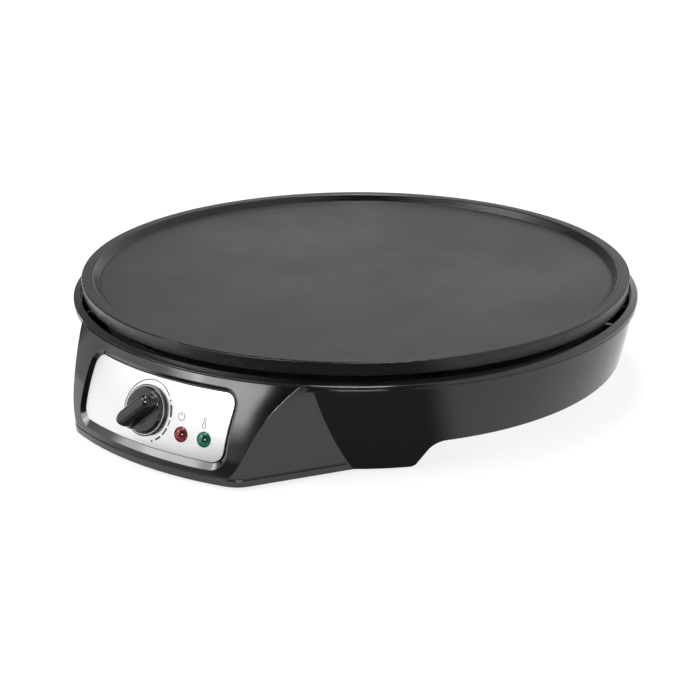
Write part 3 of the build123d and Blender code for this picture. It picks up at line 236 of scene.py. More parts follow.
# The high screen is a slanting bar above the wide one.
high_across, high_upward, high_strength = (-63.0, -25.0, 5.0), (0.585, 0.735, 0.015), 5.6
slant, slant_drop = -0.0025, 0.09
level_rise = add_math(tree, "SUBTRACT", rise, slant_drop)
leaning_rise = add_math(tree, "MULTIPLY_ADD", way, slant, level_rise)
across, upward = soft_band(tree, way, *high_across), soft_band(tree, leaning_rise, *high_upward)
light = add_screen(tree, light, across, upward, high_strength)

# The strip, to the right of the pod, is small and strong, for the thin lights on rounded edges.
strip_across, strip_upward, strip_strength = (30.0, 46.0, 4.0), (0.24, 0.46, 0.05), 24.0
across, upward = soft_band(tree, way, *strip_across), soft_band(tree, rise, *strip_upward)
light = add_screen(tree, light, across, upward, strip_strength)
tree.links.new(mix_values(tree, seen_directly(tree), light, 1.0), room.inputs["Strength"])
tree.links.new(room.outputs[0], output.inputs["Surface"])


def soft_box(name, place, aim, width, height, power):
    """A rectangular lamp that faces a point."""
    lamp = bpy.data.lights.new(name, "AREA")
    lamp.shape = "RECTANGLE"
    lamp.size = width
    lamp.size_y = height
    lamp.energy = power
    holder = bpy.data.objects.new(name, lamp)
    holder.location = place
    holder.rotation_euler = (Vector(aim) - Vector(place)).to_track_quat("-Z", "Y").to_euler()
    scene.collection.objects.link(holder)
    return holder


camera_bearing = math.radians(36.45)      # where the camera stands, from the front towards +X
over = soft_box(
    "soft_box_over", place=(-0.23, 0.3, 1.8), aim=(-0.23, 0.3, 0), width=0.4, height=1.3, power=16
)
over.rotation_euler.z = camera_bearing
soft_box(
    "soft_box_left", place=(-0.66, -0.74, 0.97), aim=(0, -0.15, 0.02), width=0.6, height=0.35, power=3
)

camera_distance, camera_height = 0.71465, 0.28737      # from the drum's axis, and over the table
pitch, yaw, roll = 0.376459, -0.00447, -0.004387       # in radians, from a level look at the axis
camera_data = bpy.data.cameras.new("camera")
camera_data.sensor_width = 36.0
camera_data.lens = 68.08
camera = bpy.data.objects.new("camera", camera_data)
scene.collection.objects.link(camera)
scene.camera = camera
to_right = Vector((math.cos(camera_bearing), math.sin(camera_bearing), 0))
to_axis = Vector((-math.sin(camera_bearing), math.cos(camera_bearing), 0))
forward = (to_right * math.sin(yaw) + to_axis * math.cos(yaw)) * math.cos(pitch)
forward.z = -math.sin(pitch)
right = to_right * math.cos(yaw) - to_axis * math.sin(yaw)
upward = right.cross(forward)
right_rolled = right * math.cos(roll) + upward * math.sin(roll)
up_rolled = upward * math.cos(roll) - right * math.sin(roll)
place = Vector((0, axis_y, 0)) - to_axis * camera_distance
place.z = camera_height
camera.matrix_world = Matrix(
    (
        (right_rolled.x, up_rolled.x, -forward.x, place.x),
        (right_rolled.y, up_rolled.y, -forward.y, place.y),
        (right_rolled.z, up_rolled.z, -forward.z, place.z),
        (0, 0, 0, 1),
    )
)

# ---------------------------------------------------------------- housing
# One injection moulding in glossy black plastic: the drum, its rim and the control pod.
# The gloss has the faint waves of a moulded skin and a little dust and handling haze.


def texture_group(name, inputs, outputs):
    """A shader node group with named sockets, and its inner nodes to build on."""
    tree = bpy.data.node_groups.new(name, "ShaderNodeTree")
    for label, kind, value in inputs:
        socket = tree.interface.new_socket(label, in_out="INPUT", socket_type=kind)
        if value is not None:
            socket.default_value = value
    for label, kind in outputs:
        tree.interface.new_socket(label, in_out="OUTPUT", socket_type=kind)
    return tree, tree.nodes.new("NodeGroupInput"), tree.nodes.new("NodeGroupOutput")


def add_noise(tree, source, scale, detail, roughness=0.5):
    """Noise texture in a tree, fed by a vector, its scale a number or a socket."""
    noise = tree.nodes.new("ShaderNodeTexNoise")
    noise.inputs["Detail"].default_value = detail
    noise.inputs["Roughness"].default_value = roughness
    tree.links.new(source, noise.inputs["Vector"])
    feed(tree, noise.inputs["Scale"], scale)
    return noise.outputs["Fac"]


skin, skin_in, skin_out = texture_group(
    "moulded_skin",
    [
        ("Vector", "NodeSocketVector", None),
        ("Wave Scale", "NodeSocketFloat", 140.0),
        ("Gloss", "NodeSocketFloat", 0.12),
        ("Haze", "NodeSocketFloat", 0.3),
    ],
    [("Roughness", "NodeSocketFloat"), ("Height", "NodeSocketFloat"), ("Dust", "NodeSocketFloat")],
)
waves = add_noise(skin, skin_in.outputs["Vector"], skin_in.outputs["Wave Scale"], detail=2.0)
smudge = add_noise(skin, skin_in.outputs["Vector"], scale=23.0, detail=5.0, roughness=0.62)
fleck = add_noise(skin, skin_in.outputs["Vector"], scale=2600.0, detail=1.0)
clean, hazed = skin_in.outputs["Gloss"], skin_in.outputs["Haze"]
haze = add_range(skin, smudge, low=0.48, high=0.75, to_low=clean, to_high=hazed)
dust = add_range(skin, fleck, low=0.72, high=0.82, to_low=0.0, to_high=1.0)
skin.links.new(haze, skin_out.inputs["Roughness"])
skin.links.new(waves, skin_out.inputs["Height"])
skin.links.new(dust, skin_out.inputs["Dust"])


def place_group(tree, shared, **values):
    """A shared group as a node, fed by object coordinates and the material's own values."""
    spot = tree.nodes.new("ShaderNodeTexCoord")
    group = tree.nodes.new("ShaderNodeGroup")
    group.node_tree = shared
    tree.links.new(spot.outputs["Object"], group.inputs["Vector"])
    for name, value in values.items():
        group.inputs[name.replace("_", " ")].default_value = value
    return group


def mix_colours(tree, share, first, second):
    """Mix of two colours or sockets by a share."""
    node = tree.nodes.new("ShaderNodeMix")
    node.data_type = "RGBA"
    for socket, value in zip((node.inputs[0], node.inputs[6], node.inputs[7]), (share, first, second)):
        feed(tree, socket, (*value, 1) if isinstance(value, tuple) else value)
    return node.outputs[2]


def add_bump(tree, height, surface, distance, edge=0.0002):
    """Bump from a height into a surface's normal, over edges rounded by a small radius."""
    rounded = tree.nodes.new("ShaderNodeBevel")
    rounded.samples = 6
    rounded.inputs["Radius"].default_value = edge
    bump = tree.nodes.new("ShaderNodeBump")
    tree.links.new(rounded.outputs[0], bump.inputs["Normal"])
    bump.inputs["Distance"].default_value = distance
    bump.inputs["Strength"].default_value = 1.0
    tree.links.new(height, bump.inputs["Height"])
    tree.links.new(bump.outputs[0], surface.inputs["Normal"])


def moulded_plastic(
    name, colour, dust_colour, gloss, haze, wave_scale, wave_depth, specular=0.5, edge=0.0002
):
    """Moulded plastic: colour with specks of dust, hazed gloss and a waved skin."""
    material, tree, output = new_material(name)
    surface = tree.nodes.new("ShaderNodeBsdfPrincipled")
    surface.inputs["Specular IOR Level"].default_value = specular
    group = place_group(tree, skin, Gloss=gloss, Haze=haze, Wave_Scale=wave_scale)
    dusty = mix_colours(tree, group.outputs["Dust"], colour, dust_colour)
    tree.links.new(dusty, surface.inputs["Base Color"])
    tree.links.new(group.outputs["Roughness"], surface.inputs["Roughness"])
    add_bump(tree, group.outputs["Height"], surface, wave_depth, edge)
    tree.links.new(surface.outputs[0], output)
    return material


def finish_node(name, material):
    """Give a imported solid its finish."""
    slots = frame["nodes"][name].data.materials
    slots.clear()
    slots.append(material)


gloss_black = moulded_plastic(
    "gloss_black_plastic",
    colour=(0.0022, 0.0022, 0.0023),
    dust_colour=(0.015, 0.015, 0.015),
    gloss=0.09,
    haze=0.16,
    wave_scale=90.0,
    wave_depth=0.00001,
    specular=0.6,
    edge=0.0005,
)
finish_node("housing", gloss_black)

# ---------------------------------------------------------------- drum floor and pod cover
# Plated steel floor with vents, held by pan head screws, and a black moulded cover under
# the pod.  The steel shows the fine lines of its rolling.
rolling_lines = (18.0, 1400.0, 2600.0)      # how much closer the pattern lies along X, Y and Z
brushed, brushed_in, brushed_out = texture_group(
    "brushed_metal",
    [
        ("Vector", "NodeSocketVector", None),
        ("Fine", "NodeSocketFloat", 1.0),
        ("Roughness", "NodeSocketFloat", 0.25),
        ("Spread", "NodeSocketFloat", 0.12),
    ],
    [("Streak", "NodeSocketFloat"), ("Roughness", "NodeSocketFloat"), ("Height", "NodeSocketFloat")],
)
drawn_out = vector_math(brushed, "MULTIPLY", brushed_in.outputs["Vector"], rolling_lines)
lines = add_noise(brushed, drawn_out, brushed_in.outputs["Fine"], detail=3.0, roughness=0.6)
rough_low = brushed_in.outputs["Roughness"]
rough_high = add_math(brushed, "ADD", rough_low, brushed_in.outputs["Spread"])
rough = add_range(brushed, lines, low=0.3, high=0.7, to_low=rough_low, to_high=rough_high)
brushed.links.new(lines, brushed_out.inputs["Streak"])
brushed.links.new(rough, brushed_out.inputs["Roughness"])
brushed.links.new(lines, brushed_out.inputs["Height"])


def metal(name, dark, light, roughness, spread, depth, fine=1.0):
    """Metal with fine lines along X, its colour between two tones."""
    material, tree, output = new_material(name)
    surface = tree.nodes.new("ShaderNodeBsdfPrincipled")
    surface.inputs["Metallic"].default_value = 1.0
    group = place_group(tree, brushed, Fine=fine, Roughness=roughness, Spread=spread)
    streaked = mix_colours(tree, group.outputs["Streak"], dark, light)
    tree.links.new(streaked, surface.inputs["Base Color"])
    tree.links.new(group.outputs["Roughness"], surface.inputs["Roughness"])
    add_bump(tree, group.outputs["Height"], surface, depth)
    tree.links.new(surface.outputs[0], output)
    return material


plated_sheet = metal(
    "plated_sheet",
    dark=(0.48, 0.48, 0.47),
    light=(0.62, 0.62, 0.6),
    roughness=0.32,
    spread=0.15,
    depth=0.00001,
)
screw_metal = metal(
    "screw_metal",
    dark=(0.5, 0.5, 0.48),
    light=(0.68, 0.67, 0.63),
    roughness=0.22,
    spread=0.1,
    depth=0.000005,
    fine=2.0,
)
matt_black = moulded_plastic(
    "matt_black_plastic",
    colour=(0.014, 0.014, 0.014),
    dust_colour=(0.05, 0.05, 0.05),
    gloss=0.42,
    haze=0.55,
    wave_scale=900.0,
    wave_depth=0.00003,
)
finish_node("base_cover", plated_sheet)
finish_node("pod_cover", matt_black)
finish_node("base_cover_screws", screw_metal)
finish_node("pod_cover_screws", screw_metal)

# ---------------------------------------------------------------- feet
# Four moulded rubber feet, their stems pushed up into the housing.  The rubber is matt, with
# a finely pitted skin that takes up dust.
rubber = moulded_plastic(
    "foot_rubber",
    colour=(0.018, 0.018, 0.018),
    dust_colour=(0.06, 0.06, 0.06),
    gloss=0.7,
    haze=0.85,
    wave_scale=1500.0,
    wave_depth=0.00006,
    specular=0.3,
)
finish_node("rubber_feet", rubber)

# ---------------------------------------------------------------- control panel
# A curved sheet of bright brushed steel, glued into the pod's recess.  The dial's arc and two
# small signs over the lamps are screen printed on it, in black and in grey.
panel_steel = metal(
    "panel_steel",
    dark=(0.55, 0.55, 0.55),
    light=(0.7, 0.7, 0.695),
    roughness=0.27,
    spread=0.09,
    depth=0.000002,
)
finish_node("control_panel", panel_steel)

panel_bulge = 0.0862                             # the panel's front: radius of its upright curve
bulge_from_axis, bulge_z = 0.088955, -0.0055     # that curve's centre, from the drum's axis and up
knob_z = frame["joints"][0]["pos_m"][2]          # the knob stands on the panel at its joint
knob_rise = math.asin((knob_z - bulge_z) / panel_bulge)
panel_turn = bulge_from_axis + panel_bulge * math.cos(knob_rise)      # radius round the axis there
ink_height, ink_root = 0.0001, -0.00003          # how far the ink stands out and reaches in
panel_mesh = frame["nodes"]["control_panel"].data
panel_tree = BVHTree.FromPolygons(
    [v.co.copy() for v in panel_mesh.vertices], [tuple(p.vertices) for p in panel_mesh.polygons]
)


def outward_at(rise, turn):
    """Direction that a spot on the panel faces, from its tilt and its turn round the drum."""
    return Vector((math.cos(rise) * math.sin(turn), -math.cos(rise) * math.cos(turn), math.sin(rise)))


def panel_place(across, height):
    """Frame on the panel's front at a distance across and a height: right, up and outward."""
    rise = math.asin((height - bulge_z) / panel_bulge)
    from_axis = bulge_from_axis + panel_bulge * math.cos(rise)
    turn = math.asin(across / from_axis)
    outward = outward_at(rise, turn)
    right = Vector((math.cos(turn), math.sin(turn), 0))
    frame_on_panel = Matrix((right, outward.cross(right), outward)).transposed().to_4x4()
    frame_on_panel.translation = (across, axis_y - from_axis * math.cos(turn), height)
    return frame_on_panel


def on_panel(across, up, lift):
    """Point on the panel's front, from the knob's axis across and up, and lifted off it."""
    reach = 0.002
    turn = across / panel_turn
    outward = outward_at(knob_rise + up / panel_bulge, turn)
    centre_y = axis_y - bulge_from_axis * math.cos(turn)
    centre = Vector((bulge_from_axis * math.sin(turn), centre_y, bulge_z))
    face = panel_tree.ray_cast(centre + outward * (panel_bulge + reach), -outward, 2 * reach)[0]
    return (face or centre + outward * panel_bulge) + outward * lift


def add_stroke(mesh, path, width):
    """A stroke of ink along a path on the panel: a thin closed ribbon."""
    corners = ((0.5, ink_height), (-0.5, ink_height), (-0.5, ink_root), (0.5, ink_root))
    rows = []
    for i, point in enumerate(path):
        before, after = path[max(i - 1, 0)], path[min(i + 1, len(path) - 1)]
        along = Vector((after[0] - before[0], after[1] - before[1])).normalized()
        side = Vector((-along.y, along.x)) * width
        row = []
        for share, lift in corners:
            corner = on_panel(point[0] + share * side.x, point[1] + share * side.y, lift)
            row.append(mesh.verts.new(corner))
        rows.append(row)
    for first, second in zip(rows, rows[1:]):
        for i in range(4):
            j = (i + 1) % 4
            mesh.faces.new((first[i], first[j], second[j], second[i]))
    mesh.faces.new(rows[0][::-1])
    mesh.faces.new(rows[-1])


def arc_point(centre, radius, turn):
    """Point on a circle, at an angle in degrees from the right, upwards."""
    turn = math.radians(turn)
    return centre[0] + radius * math.cos(turn), centre[1] + radius * math.sin(turn)


def arc_path(centre, radius, start, end, step=4):
    """Points along an arc, a few degrees apart."""
    count = max(2, round(abs(end - start) / step))
    return [arc_point(centre, radius, start + (end - start) * i / count) for i in range(count + 1)]


def straight_path(start, end, count=10):
    """Points along a straight line."""
    return [tuple(a + (b - a) * i / count for a, b in zip(start, end)) for i in range(count + 1)]


def add_dot(mesh, centre, radius, sides=14):
    """A round dot of ink."""
    points = [arc_point(centre, radius, 360 * i / sides) for i in range(sides)]
    top, root = (
        [mesh.verts.new(on_panel(*point, lift)) for point in points] for lift in (ink_height, ink_root)
    )
    for i in range(sides):
        j = (i + 1) % sides
        mesh.faces.new((top[i], top[j], root[j], root[i]))
    mesh.faces.new(top)
    mesh.faces.new(root[::-1])


def printed_ink(name, colour, worn):
    """Screen printed ink, slightly worn in patches."""
    material, tree, output = new_material(name)
    surface = tree.nodes.new("ShaderNodeBsdfPrincipled")
    spot = tree.nodes.new("ShaderNodeTexCoord")
    wear = add_noise(tree, spot.outputs["Object"], scale=700.0, detail=4.0, roughness=0.6)
    worn_share = add_range(tree, wear, low=0.5, high=0.8, to_low=0.0, to_high=0.6)
    tree.links.new(mix_colours(tree, worn_share, colour, worn), surface.inputs["Base Color"])
    rough = add_range(tree, wear, low=0.3, high=0.7, to_low=0.35, to_high=0.5)
    tree.links.new(rough, surface.inputs["Roughness"])
    tree.links.new(surface.outputs[0], output)
    return material


def add_piece(name, mesh, material, body, crease=None):
    """A visible piece from a mesh, in its finish and on its body, smooth up to a crease angle."""
    bmesh.ops.recalc_face_normals(mesh, faces=mesh.faces)
    data = bpy.data.meshes.new(name)
    mesh.to_mesh(data)
    mesh.free()
    data.materials.append(material)
    if crease is not None:
        data.shade_smooth()
        data.set_sharp_from_angle(angle=math.radians(crease))
    piece = bpy.data.objects.new(name, data)
    scene.collection.objects.link(piece)
    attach(piece, body)
    return piece


# The dial: its arcs by where they start and end in degrees and their widths, and two dots.
dial_radius = 0.0150
scale = bmesh.new()
for start, end, width in (
    (40, 190, 0.0005),
    (22, 0, 0.0011),
    (-5, -17, 0.0005),
    (-22, -38, 0.0008),
    (-44, -57, 0.0009),
):
    add_stroke(scale, arc_path((0, 0), dial_radius, start, end), width)
for turn, radius in ((31, 0.0004), (-66, 0.0005)):
    add_dot(scale, arc_point((0, 0), dial_radius, turn), radius)
black_ink = printed_ink("black_ink", (0.012, 0.012, 0.012), (0.1, 0.1, 0.1))
add_piece("dial_scale", scale, black_ink, "base")

# The signs: a ring, open at the top, with a bar in it for on; and a bulb with a tube for heat.
icon_line, icon_radius = 0.00034, 0.0018
on_icon, heat_icon = (0.0212, 0.0016), (0.0342, 0.0012)
open_ring = (60, -240)
icons = bmesh.new()
add_stroke(icons, arc_path(on_icon, icon_radius, *open_ring), icon_line)
bar_foot = (on_icon[0], on_icon[1] + 0.2 * icon_radius)
bar_top = (on_icon[0], on_icon[1] + 1.3 * icon_radius)
add_stroke(icons, straight_path(bar_foot, bar_top), icon_line)
bulb_radius = 0.5 * icon_radius
bulb = (heat_icon[0], heat_icon[1] - icon_radius)
add_stroke(icons, arc_path(bulb, bulb_radius, *open_ring), icon_line)
tube_side = bulb_radius * math.cos(math.radians(open_ring[0]))
tube_foot, tube_top = bulb[1] + 0.43 * icon_radius, heat_icon[1] + icon_radius
for side in (-tube_side, tube_side):
    tube = straight_path((bulb[0] + side, tube_foot), (bulb[0] + side, tube_top))
    add_stroke(icons, tube, icon_line)
add_stroke(icons, arc_path((bulb[0], tube_top), tube_side, 0, 180), icon_line)
grey_ink = printed_ink("grey_ink", (0.1, 0.1, 0.1), (0.22, 0.22, 0.22))
add_piece("lamp_icons", icons, grey_ink, "base")

# ---------------------------------------------------------------- lamps
# Domed clear lenses, red and green, pushed through the panel and held by push-on nuts behind
# it; a small glass neon lamp sits in each.  Moulded hollow in tinted plastic.


def lens_plastic(name, rim, deep, bright):
    """Tinted clear plastic: deep in the middle, with a cloudy ring of painted highlight round it, and
    painted shade where it is seen edge on.
    """
    material, tree, output = new_material(name)
    surface = tree.nodes.new("ShaderNodeBsdfPrincipled")
    surface.inputs["Roughness"].default_value = 0.07
    surface.inputs["Specular IOR Level"].default_value = 0.35
    spot = tree.nodes.new("ShaderNodeTexCoord")
    cloud = add_noise(tree, spot.outputs["Object"], scale=420.0, detail=3.0, roughness=0.6)
    edge_on = tree.nodes.new("ShaderNodeLayerWeight")
    edge_on.inputs["Blend"].default_value = 0.5
    # The brighter cloudy ring round the deep middle is a painted highlight; the darker rim, seen edge on,
    # is painted shade.
    highlight_ring = soft_band(tree, edge_on.outputs["Facing"], low=0.2, high=0.36, soft=0.15)
    clouded = add_range(tree, cloud, low=0.35, high=0.6, to_low=0.55, to_high=1.0)
    highlight_ring = add_math(tree, "MULTIPLY", highlight_ring, clouded)
    rim_shade = soft_step(tree, edge_on.outputs["Facing"], start=0.4, end=0.75)
    tint = mix_colours(tree, rim_shade, mix_colours(tree, highlight_ring, deep, bright), rim)
    tree.links.new(tint, surface.inputs["Base Color"])
    tree.links.new(surface.outputs[0], output)
    return material


def turned_form(mesh, profile, place, sides):
    """A solid of revolution about a place's outward axis; the profile runs from axis to axis."""
    rings = []
    for radius, height in profile:
        turns = [2 * math.pi * i / sides for i in range(sides if radius else 1)]
        points = [Vector((radius * math.cos(turn), radius * math.sin(turn), height)) for turn in turns]
        rings.append([mesh.verts.new(place @ point) for point in points])
    for first, second in zip(rings, rings[1:]):
        for i in range(sides):
            j = (i + 1) % sides
            corners = [first[i % len(first)], first[j % len(first)]]
            corners += [second[j % len(second)], second[i % len(second)]]
            mesh.faces.new(list(dict.fromkeys(corners)))


lamp_z = 0.0215
lens_radius, lens_height, lens_stem = 0.0038, 0.0026, 0.0033
stem_wall, stem_length = 0.0011, 0.007
lens_sides, lens_crease, dome_steps = 40, 35, 14
dome = (lens_radius**2 + lens_height**2) / (2 * lens_height)      # the radius of its sphere
dome_edge = math.asin(lens_radius / dome)
lens_profile = [(0, -stem_wall)]
lens_profile += [(lens_stem - stem_wall, -stem_wall), (lens_stem - stem_wall, -stem_length)]
lens_profile += [(lens_stem, -stem_length), (lens_stem, 0), (lens_radius, 0)]
for i in range(1, dome_steps):
    fall = dome_edge * (1 - i / dome_steps)
    lens_profile.append((dome * math.sin(fall), lens_height - dome * (1 - math.cos(fall))))
lens_profile.append((0, lens_height))

# Each lens has its place across the panel, and its tints: at the rim in painted shade, deep in the
# middle, and bright in its ring of painted highlight.
for colour, across, tints in (
    ("red", 0.0226, ((0.012, 0.0, 0.0), (0.035, 0.0005, 0.001), (0.15, 0.018, 0.018))),
    ("green", 0.0352, ((0.0, 0.006, 0.004), (0.0, 0.02, 0.012), (0.004, 0.11, 0.066))),
):
    lens = bmesh.new()
    turned_form(lens, lens_profile, panel_place(across, lamp_z), lens_sides)
    tinted = lens_plastic(colour + "_lens", *tints)
    piece = add_piece(colour + "_lens_dome", lens, tinted, "base", lens_crease)
    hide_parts(colour + "_lamp_lens")
lamp_glass = moulded_plastic(
    "lamp_glass",
    colour=(0.5, 0.48, 0.45),
    dust_colour=(0.6, 0.6, 0.6),
    gloss=0.1,
    haze=0.2,
    wave_scale=300.0,
    wave_depth=0.00001,
)
for name in ("red_lamp_body", "green_lamp_body"):
    finish_node(name, lamp_glass)
finish_node("lamp_nuts", plated_sheet)

# ---------------------------------------------------------------- thermostat and knob
# The thermostat hangs on a steel bracket behind the panel; its shaft carries a moulded black
# knob: a skirt with a thin pale ring painted on it as a highlight, a disc and a crowned grip bar.
for name in ("thermostat_bracket", "thermostat_shaft"):
    finish_node(name, plated_sheet)
finish_node("thermostat_body", matt_black)
finish_node("thermostat_screws", screw_metal)
knob_plastic = moulded_plastic(
    "knob_plastic",
    colour=(0.003, 0.003, 0.003),
    dust_colour=(0.02, 0.02, 0.02),
    gloss=0.1,
    haze=0.18,
    wave_scale=300.0,
    wave_depth=0.000004,
    specular=0.55,
    edge=0.0001,
)

knob_lift, skirt_top, disc_top = 0.0004, 0.0013, 0.0032      # heights off the panel
skirt_radius, disc_radius, disc_flat = 0.0126, 0.0112, 0.01043
edge_round = 0.0003
corner = 0.3 * edge_round                                    # how far in a rounded edge's middle is
grip_tip, grip_back, grip_half = 0.0121, 0.0102, 0.0042      # from the knob's axis
grip_top, grip_root = 0.0108, 0.0009                         # its height, and the fillet at its foot
crown_in, tip_in, back_in, crown_high = 0.0040, 0.0016, 0.0026, 0.0036
grip_sunk = 0.6 * grip_root                                  # it starts this deep inside the disc
grip_turn = math.radians(225)                                # where it points when it is off
knob_sides, cap_steps, root_steps, crown_steps = 96, 16, 5, 12
knob_crease = 32
# The thin pale ring on the skirt is a painted highlight.
highlight_ring_from, highlight_ring_to, highlight_ring_soft = 0.01165, 0.0119, 0.0001
highlight_ring_grey = (0.3, 0.3, 0.3)
knob_place = panel_place(0, knob_z)

# Paint the highlight ring into the knob's base colour.
tree = knob_plastic.node_tree
surface = next(node for node in tree.nodes if node.type == "BSDF_PRINCIPLED")
spot = tree.nodes.new("ShaderNodeTexCoord")
from_knob = vector_math(tree, "SUBTRACT", spot.outputs["Object"], knob_place.translation)
out_by = vector_math(tree, "LENGTH", vector_math(tree, "CROSS_PRODUCT", from_knob, knob_place.col[2].xyz))
painted_highlight_ring = soft_band(tree, out_by, highlight_ring_from, highlight_ring_to, highlight_ring_soft)
black = surface.inputs["Base Color"].links[0].from_socket
tree.links.new(mix_colours(tree, painted_highlight_ring, black, highlight_ring_grey), surface.inputs["Base Color"])


def grip_outline(inset, tip_inset, back_inset):
    """Points round the grip at one level: a slot from its back end to its pointing end."""
    half = grip_half - inset
    cap = 0.5 * (grip_half + half)
    points = []
    for reach, start in ((grip_tip - tip_inset - cap, -90), (cap - grip_back + back_inset, 90)):
        for i in range(cap_steps + 1):
            turn = math.radians(start + 180 * i / cap_steps)
            along, aside = reach + cap * math.cos(turn), half * math.sin(turn)
            points.append(
                (
                    along * math.cos(grip_turn) - aside * math.sin(grip_turn),
                    along * math.sin(grip_turn) + aside * math.cos(grip_turn),
                )
            )
    return points


knob_profile = [
    (0, knob_lift),
    (skirt_radius - edge_round, knob_lift),
    (skirt_radius, knob_lift + edge_round),
    (skirt_radius, skirt_top - edge_round),
    (skirt_radius - corner, skirt_top - corner),
    (skirt_radius - edge_round, skirt_top),
    (disc_radius, skirt_top),
    (disc_flat + 0.4 * edge_round, disc_top - edge_round),
    (disc_flat, disc_top - corner),
    (disc_flat - edge_round, disc_top),
    (0, disc_top),
]
knob_form = bmesh.new()
turned_form(knob_form, knob_profile, knob_place, knob_sides)

# The grip's levels, from inside the disc up: its insets at the sides, tip and back, and its height.
levels = [(-grip_root, -grip_root, -grip_root, disc_top - grip_sunk)]
for i in range(root_steps + 1):
    turn = math.radians(90 * i / root_steps)
    flare = -grip_root * (1 - math.sin(turn))
    levels.append((flare, flare, flare, disc_top + grip_root * (1 - math.cos(turn))))
for i in range(crown_steps + 1):
    turn = math.radians(90 * i / crown_steps)
    drawn_in = 1 - math.cos(turn)
    height = grip_top - crown_high * (1 - math.sin(turn))
    levels.append((crown_in * drawn_in, tip_in * drawn_in, back_in * drawn_in, height))
rings = []
for *insets, height in levels:
    points = [Vector((x, y, height)) for x, y in grip_outline(*insets)]
    rings.append([knob_form.verts.new(knob_place @ point) for point in points])
for first, second in zip(rings, rings[1:]):
    for i in range(len(first)):
        j = (i + 1) % len(first)
        knob_form.faces.new((first[i], first[j], second[j], second[i]))
knob_form.faces.new(rings[0][::-1])
knob_form.faces.new(rings[-1])
knob = add_piece("knob_and_grip", knob_form, knob_plastic, "knob", knob_crease)
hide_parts("control_knob")

# ---------------------------------------------------------------- cooking plate
# Cast aluminium with a dark non-stick coating: fine grained on top, with turned grooves beside
# its raised ring and turned lines on its edge.  Its slopes, its edge and the grooves are painted
# darker, as shade.  Screwed down from below, on spacers.
grain, grain_in, grain_out = texture_group(
    "coating_grain",
    [
        ("Vector", "NodeSocketVector", None),
        ("Grain Scale", "NodeSocketFloat", 1800.0),
        ("Roughness", "NodeSocketFloat", 0.45),
    ],
    [("Tone", "NodeSocketFloat"), ("Roughness", "NodeSocketFloat"), ("Height", "NodeSocketFloat")],
)
speck = add_noise(grain, grain_in.outputs["Vector"], grain_in.outputs["Grain Scale"], detail=2.0)
patch = add_noise(grain, grain_in.outputs["Vector"], scale=14.0, detail=4.0, roughness=0.6)
speck_share, patch_spread = 0.5, 0.12
tone = add_math(grain, "ADD", add_math(grain, "MULTIPLY", speck, speck_share), patch)
rough_low = grain_in.outputs["Roughness"]
rough_high = add_math(grain, "ADD", rough_low, patch_spread)
rough = add_range(grain, patch, low=0.35, high=0.65, to_low=rough_low, to_high=rough_high)
grain.links.new(tone, grain_out.inputs["Tone"])
grain.links.new(rough, grain_out.inputs["Roughness"])
grain.links.new(speck, grain_out.inputs["Height"])

ring_inner, ring_outer, ring_step, dish_groove = 0.1462, 0.1519, 0.0011, 0.1426      # radii
groove_width, groove_depth = 0.00045, 2.0
coating_dark, coating_light, coating_painted_shade = (0.005,) * 3, (0.011,) * 3, (0.0012,) * 3
turning_lines = (45.0, 45.0, 3200.0)
grain_relief, relief_depth = 0.6, 0.00008
plate_coating, tree, output = new_material("plate_coating")
surface = tree.nodes.new("ShaderNodeBsdfPrincipled")
surface.inputs["Specular IOR Level"].default_value = 0.43
group = place_group(tree, grain, Grain_Scale=1800.0, Roughness=0.4)
spot = tree.nodes.new("ShaderNodeTexCoord")
from_axis = vector_math(tree, "SUBTRACT", spot.outputs["Object"], (0, axis_y, 0))
out_by = vector_math(tree, "LENGTH", vector_math(tree, "MULTIPLY", from_axis, (1, 1, 0)))
normal = tree.nodes.new("ShaderNodeSeparateXYZ")
tree.links.new(spot.outputs["Normal"], normal.inputs[0])
level = add_math(tree, "ABSOLUTE", normal.outputs["Z"])
upright = soft_step(tree, level, start=0.6, end=0.25)
tilted = soft_step(tree, level, start=0.98, end=0.9)
turned = vector_math(tree, "MULTIPLY", spot.outputs["Object"], turning_lines)
edge_lines = add_noise(tree, turned, scale=1.0, detail=4.0, roughness=0.65)
grooves = 0.0
for groove in (ring_inner, ring_outer, ring_inner + ring_step, dish_groove):
    off = add_math(tree, "ABSOLUTE", add_math(tree, "SUBTRACT", out_by, groove))
    grooves = add_math(tree, "MAXIMUM", soft_step(tree, off, groove_width, 0.0), grooves)
coated = mix_colours(tree, group.outputs["Tone"], coating_dark, coating_light)
# Painted shade: the slopes, the upright edge and the grooves take the darkest tone; the grooves are also
# cut in by bump.
coated = mix_colours(tree, add_math(tree, "MAXIMUM", tilted, grooves), coated, coating_painted_shade)
tree.links.new(coated, surface.inputs["Base Color"])
side_gloss = add_range(tree, edge_lines, low=0.38, high=0.62, to_low=0.08, to_high=0.3)
rough = mix_values(tree, tilted, group.outputs["Roughness"], side_gloss)
tree.links.new(rough, surface.inputs["Roughness"])
fine_grain = add_math(tree, "MULTIPLY", group.outputs["Height"], grain_relief)
relief = mix_values(tree, upright, fine_grain, edge_lines)
relief = add_math(tree, "SUBTRACT", relief, add_math(tree, "MULTIPLY", grooves, groove_depth))
add_bump(tree, relief, surface, relief_depth, edge=0.0004)
tree.links.new(surface.outputs[0], output)
finish_node("cooking_plate", plate_coating)
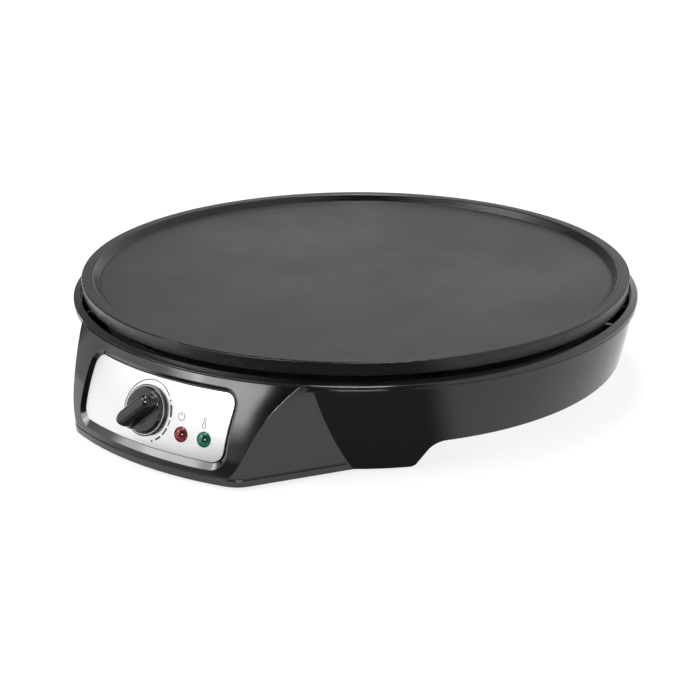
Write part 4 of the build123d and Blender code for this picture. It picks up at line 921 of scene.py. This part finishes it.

# ---------------------------------------------------------------- element, shield and fixings
# A steel-sheathed element clipped under the plate, above an aluminised steel tray painted dark
# as the shade under the plate; four long screws with spacers hold the plate to the housing.
sheath = metal(
    "element_sheath",
    dark=(0.12, 0.11, 0.1),
    light=(0.22, 0.2, 0.18),
    roughness=0.45,
    spread=0.2,
    depth=0.00002,
    fine=3.0,
)
# The tray's dark tone is painted shade, for the dark gap under the plate.
darkened_for_shade = metal(
    "sheet_darkened_for_shade",
    dark=(0.1, 0.1, 0.1),
    light=(0.2, 0.195, 0.19),
    roughness=0.45,
    spread=0.2,
    depth=0.00001,
)
finish_node("heating_element", sheath)
finish_node("heat_shield", darkened_for_shade)
for name in ("element_clips", "bulb_clip", "fuse_clip", "element_terminals"):
    finish_node(name, plated_sheet)
for name in ("plate_screws", "plate_spacers", "element_clip_screws", "clip_screws", "thermal_fuse"):
    finish_node(name, screw_metal)

# ---------------------------------------------------------------- feeler, wires and terminals
# The thermostat's feeler and capillary are drawn copper.  The wires between the moulded
# terminal block, the fuse, the element and the lamps are insulated in coloured silicone.
copper = metal(
    "drawn_copper",
    dark=(0.5, 0.24, 0.13),
    light=(0.7, 0.38, 0.24),
    roughness=0.28,
    spread=0.15,
    depth=0.00001,
    fine=2.0,
)
for name in ("thermostat_bulb", "thermostat_capillary"):
    finish_node(name, copper)
for name, colour in (
    ("live_wire", (0.12, 0.045, 0.02)),
    ("neutral_wire", (0.02, 0.06, 0.3)),
    ("earth_wire", (0.1, 0.3, 0.03)),
    ("fuse_wire", (0.02, 0.02, 0.02)),
    ("heater_wire", (0.02, 0.02, 0.02)),
    ("lamp_wires", (0.02, 0.02, 0.02)),
):
    silicone = moulded_plastic(
        name + "_silicone",
        colour=colour,
        dust_colour=colour,
        gloss=0.5,
        haze=0.65,
        wave_scale=1200.0,
        wave_depth=0.00004,
    )
    finish_node(name, silicone)
finish_node("terminal_block", matt_black)
for name in ("block_screw", "earth_screw"):
    finish_node(name, screw_metal)

# ---------------------------------------------------------------- cord entry
# A moulded gland in the rear wall lets the cord in, and a moulded clamp bar inside, with its
# two screws, holds the cord.
finish_node("cord_gland", matt_black)
finish_node("cord_clamp", matt_black)
finish_node("cord_clamp_screws", screw_metal)
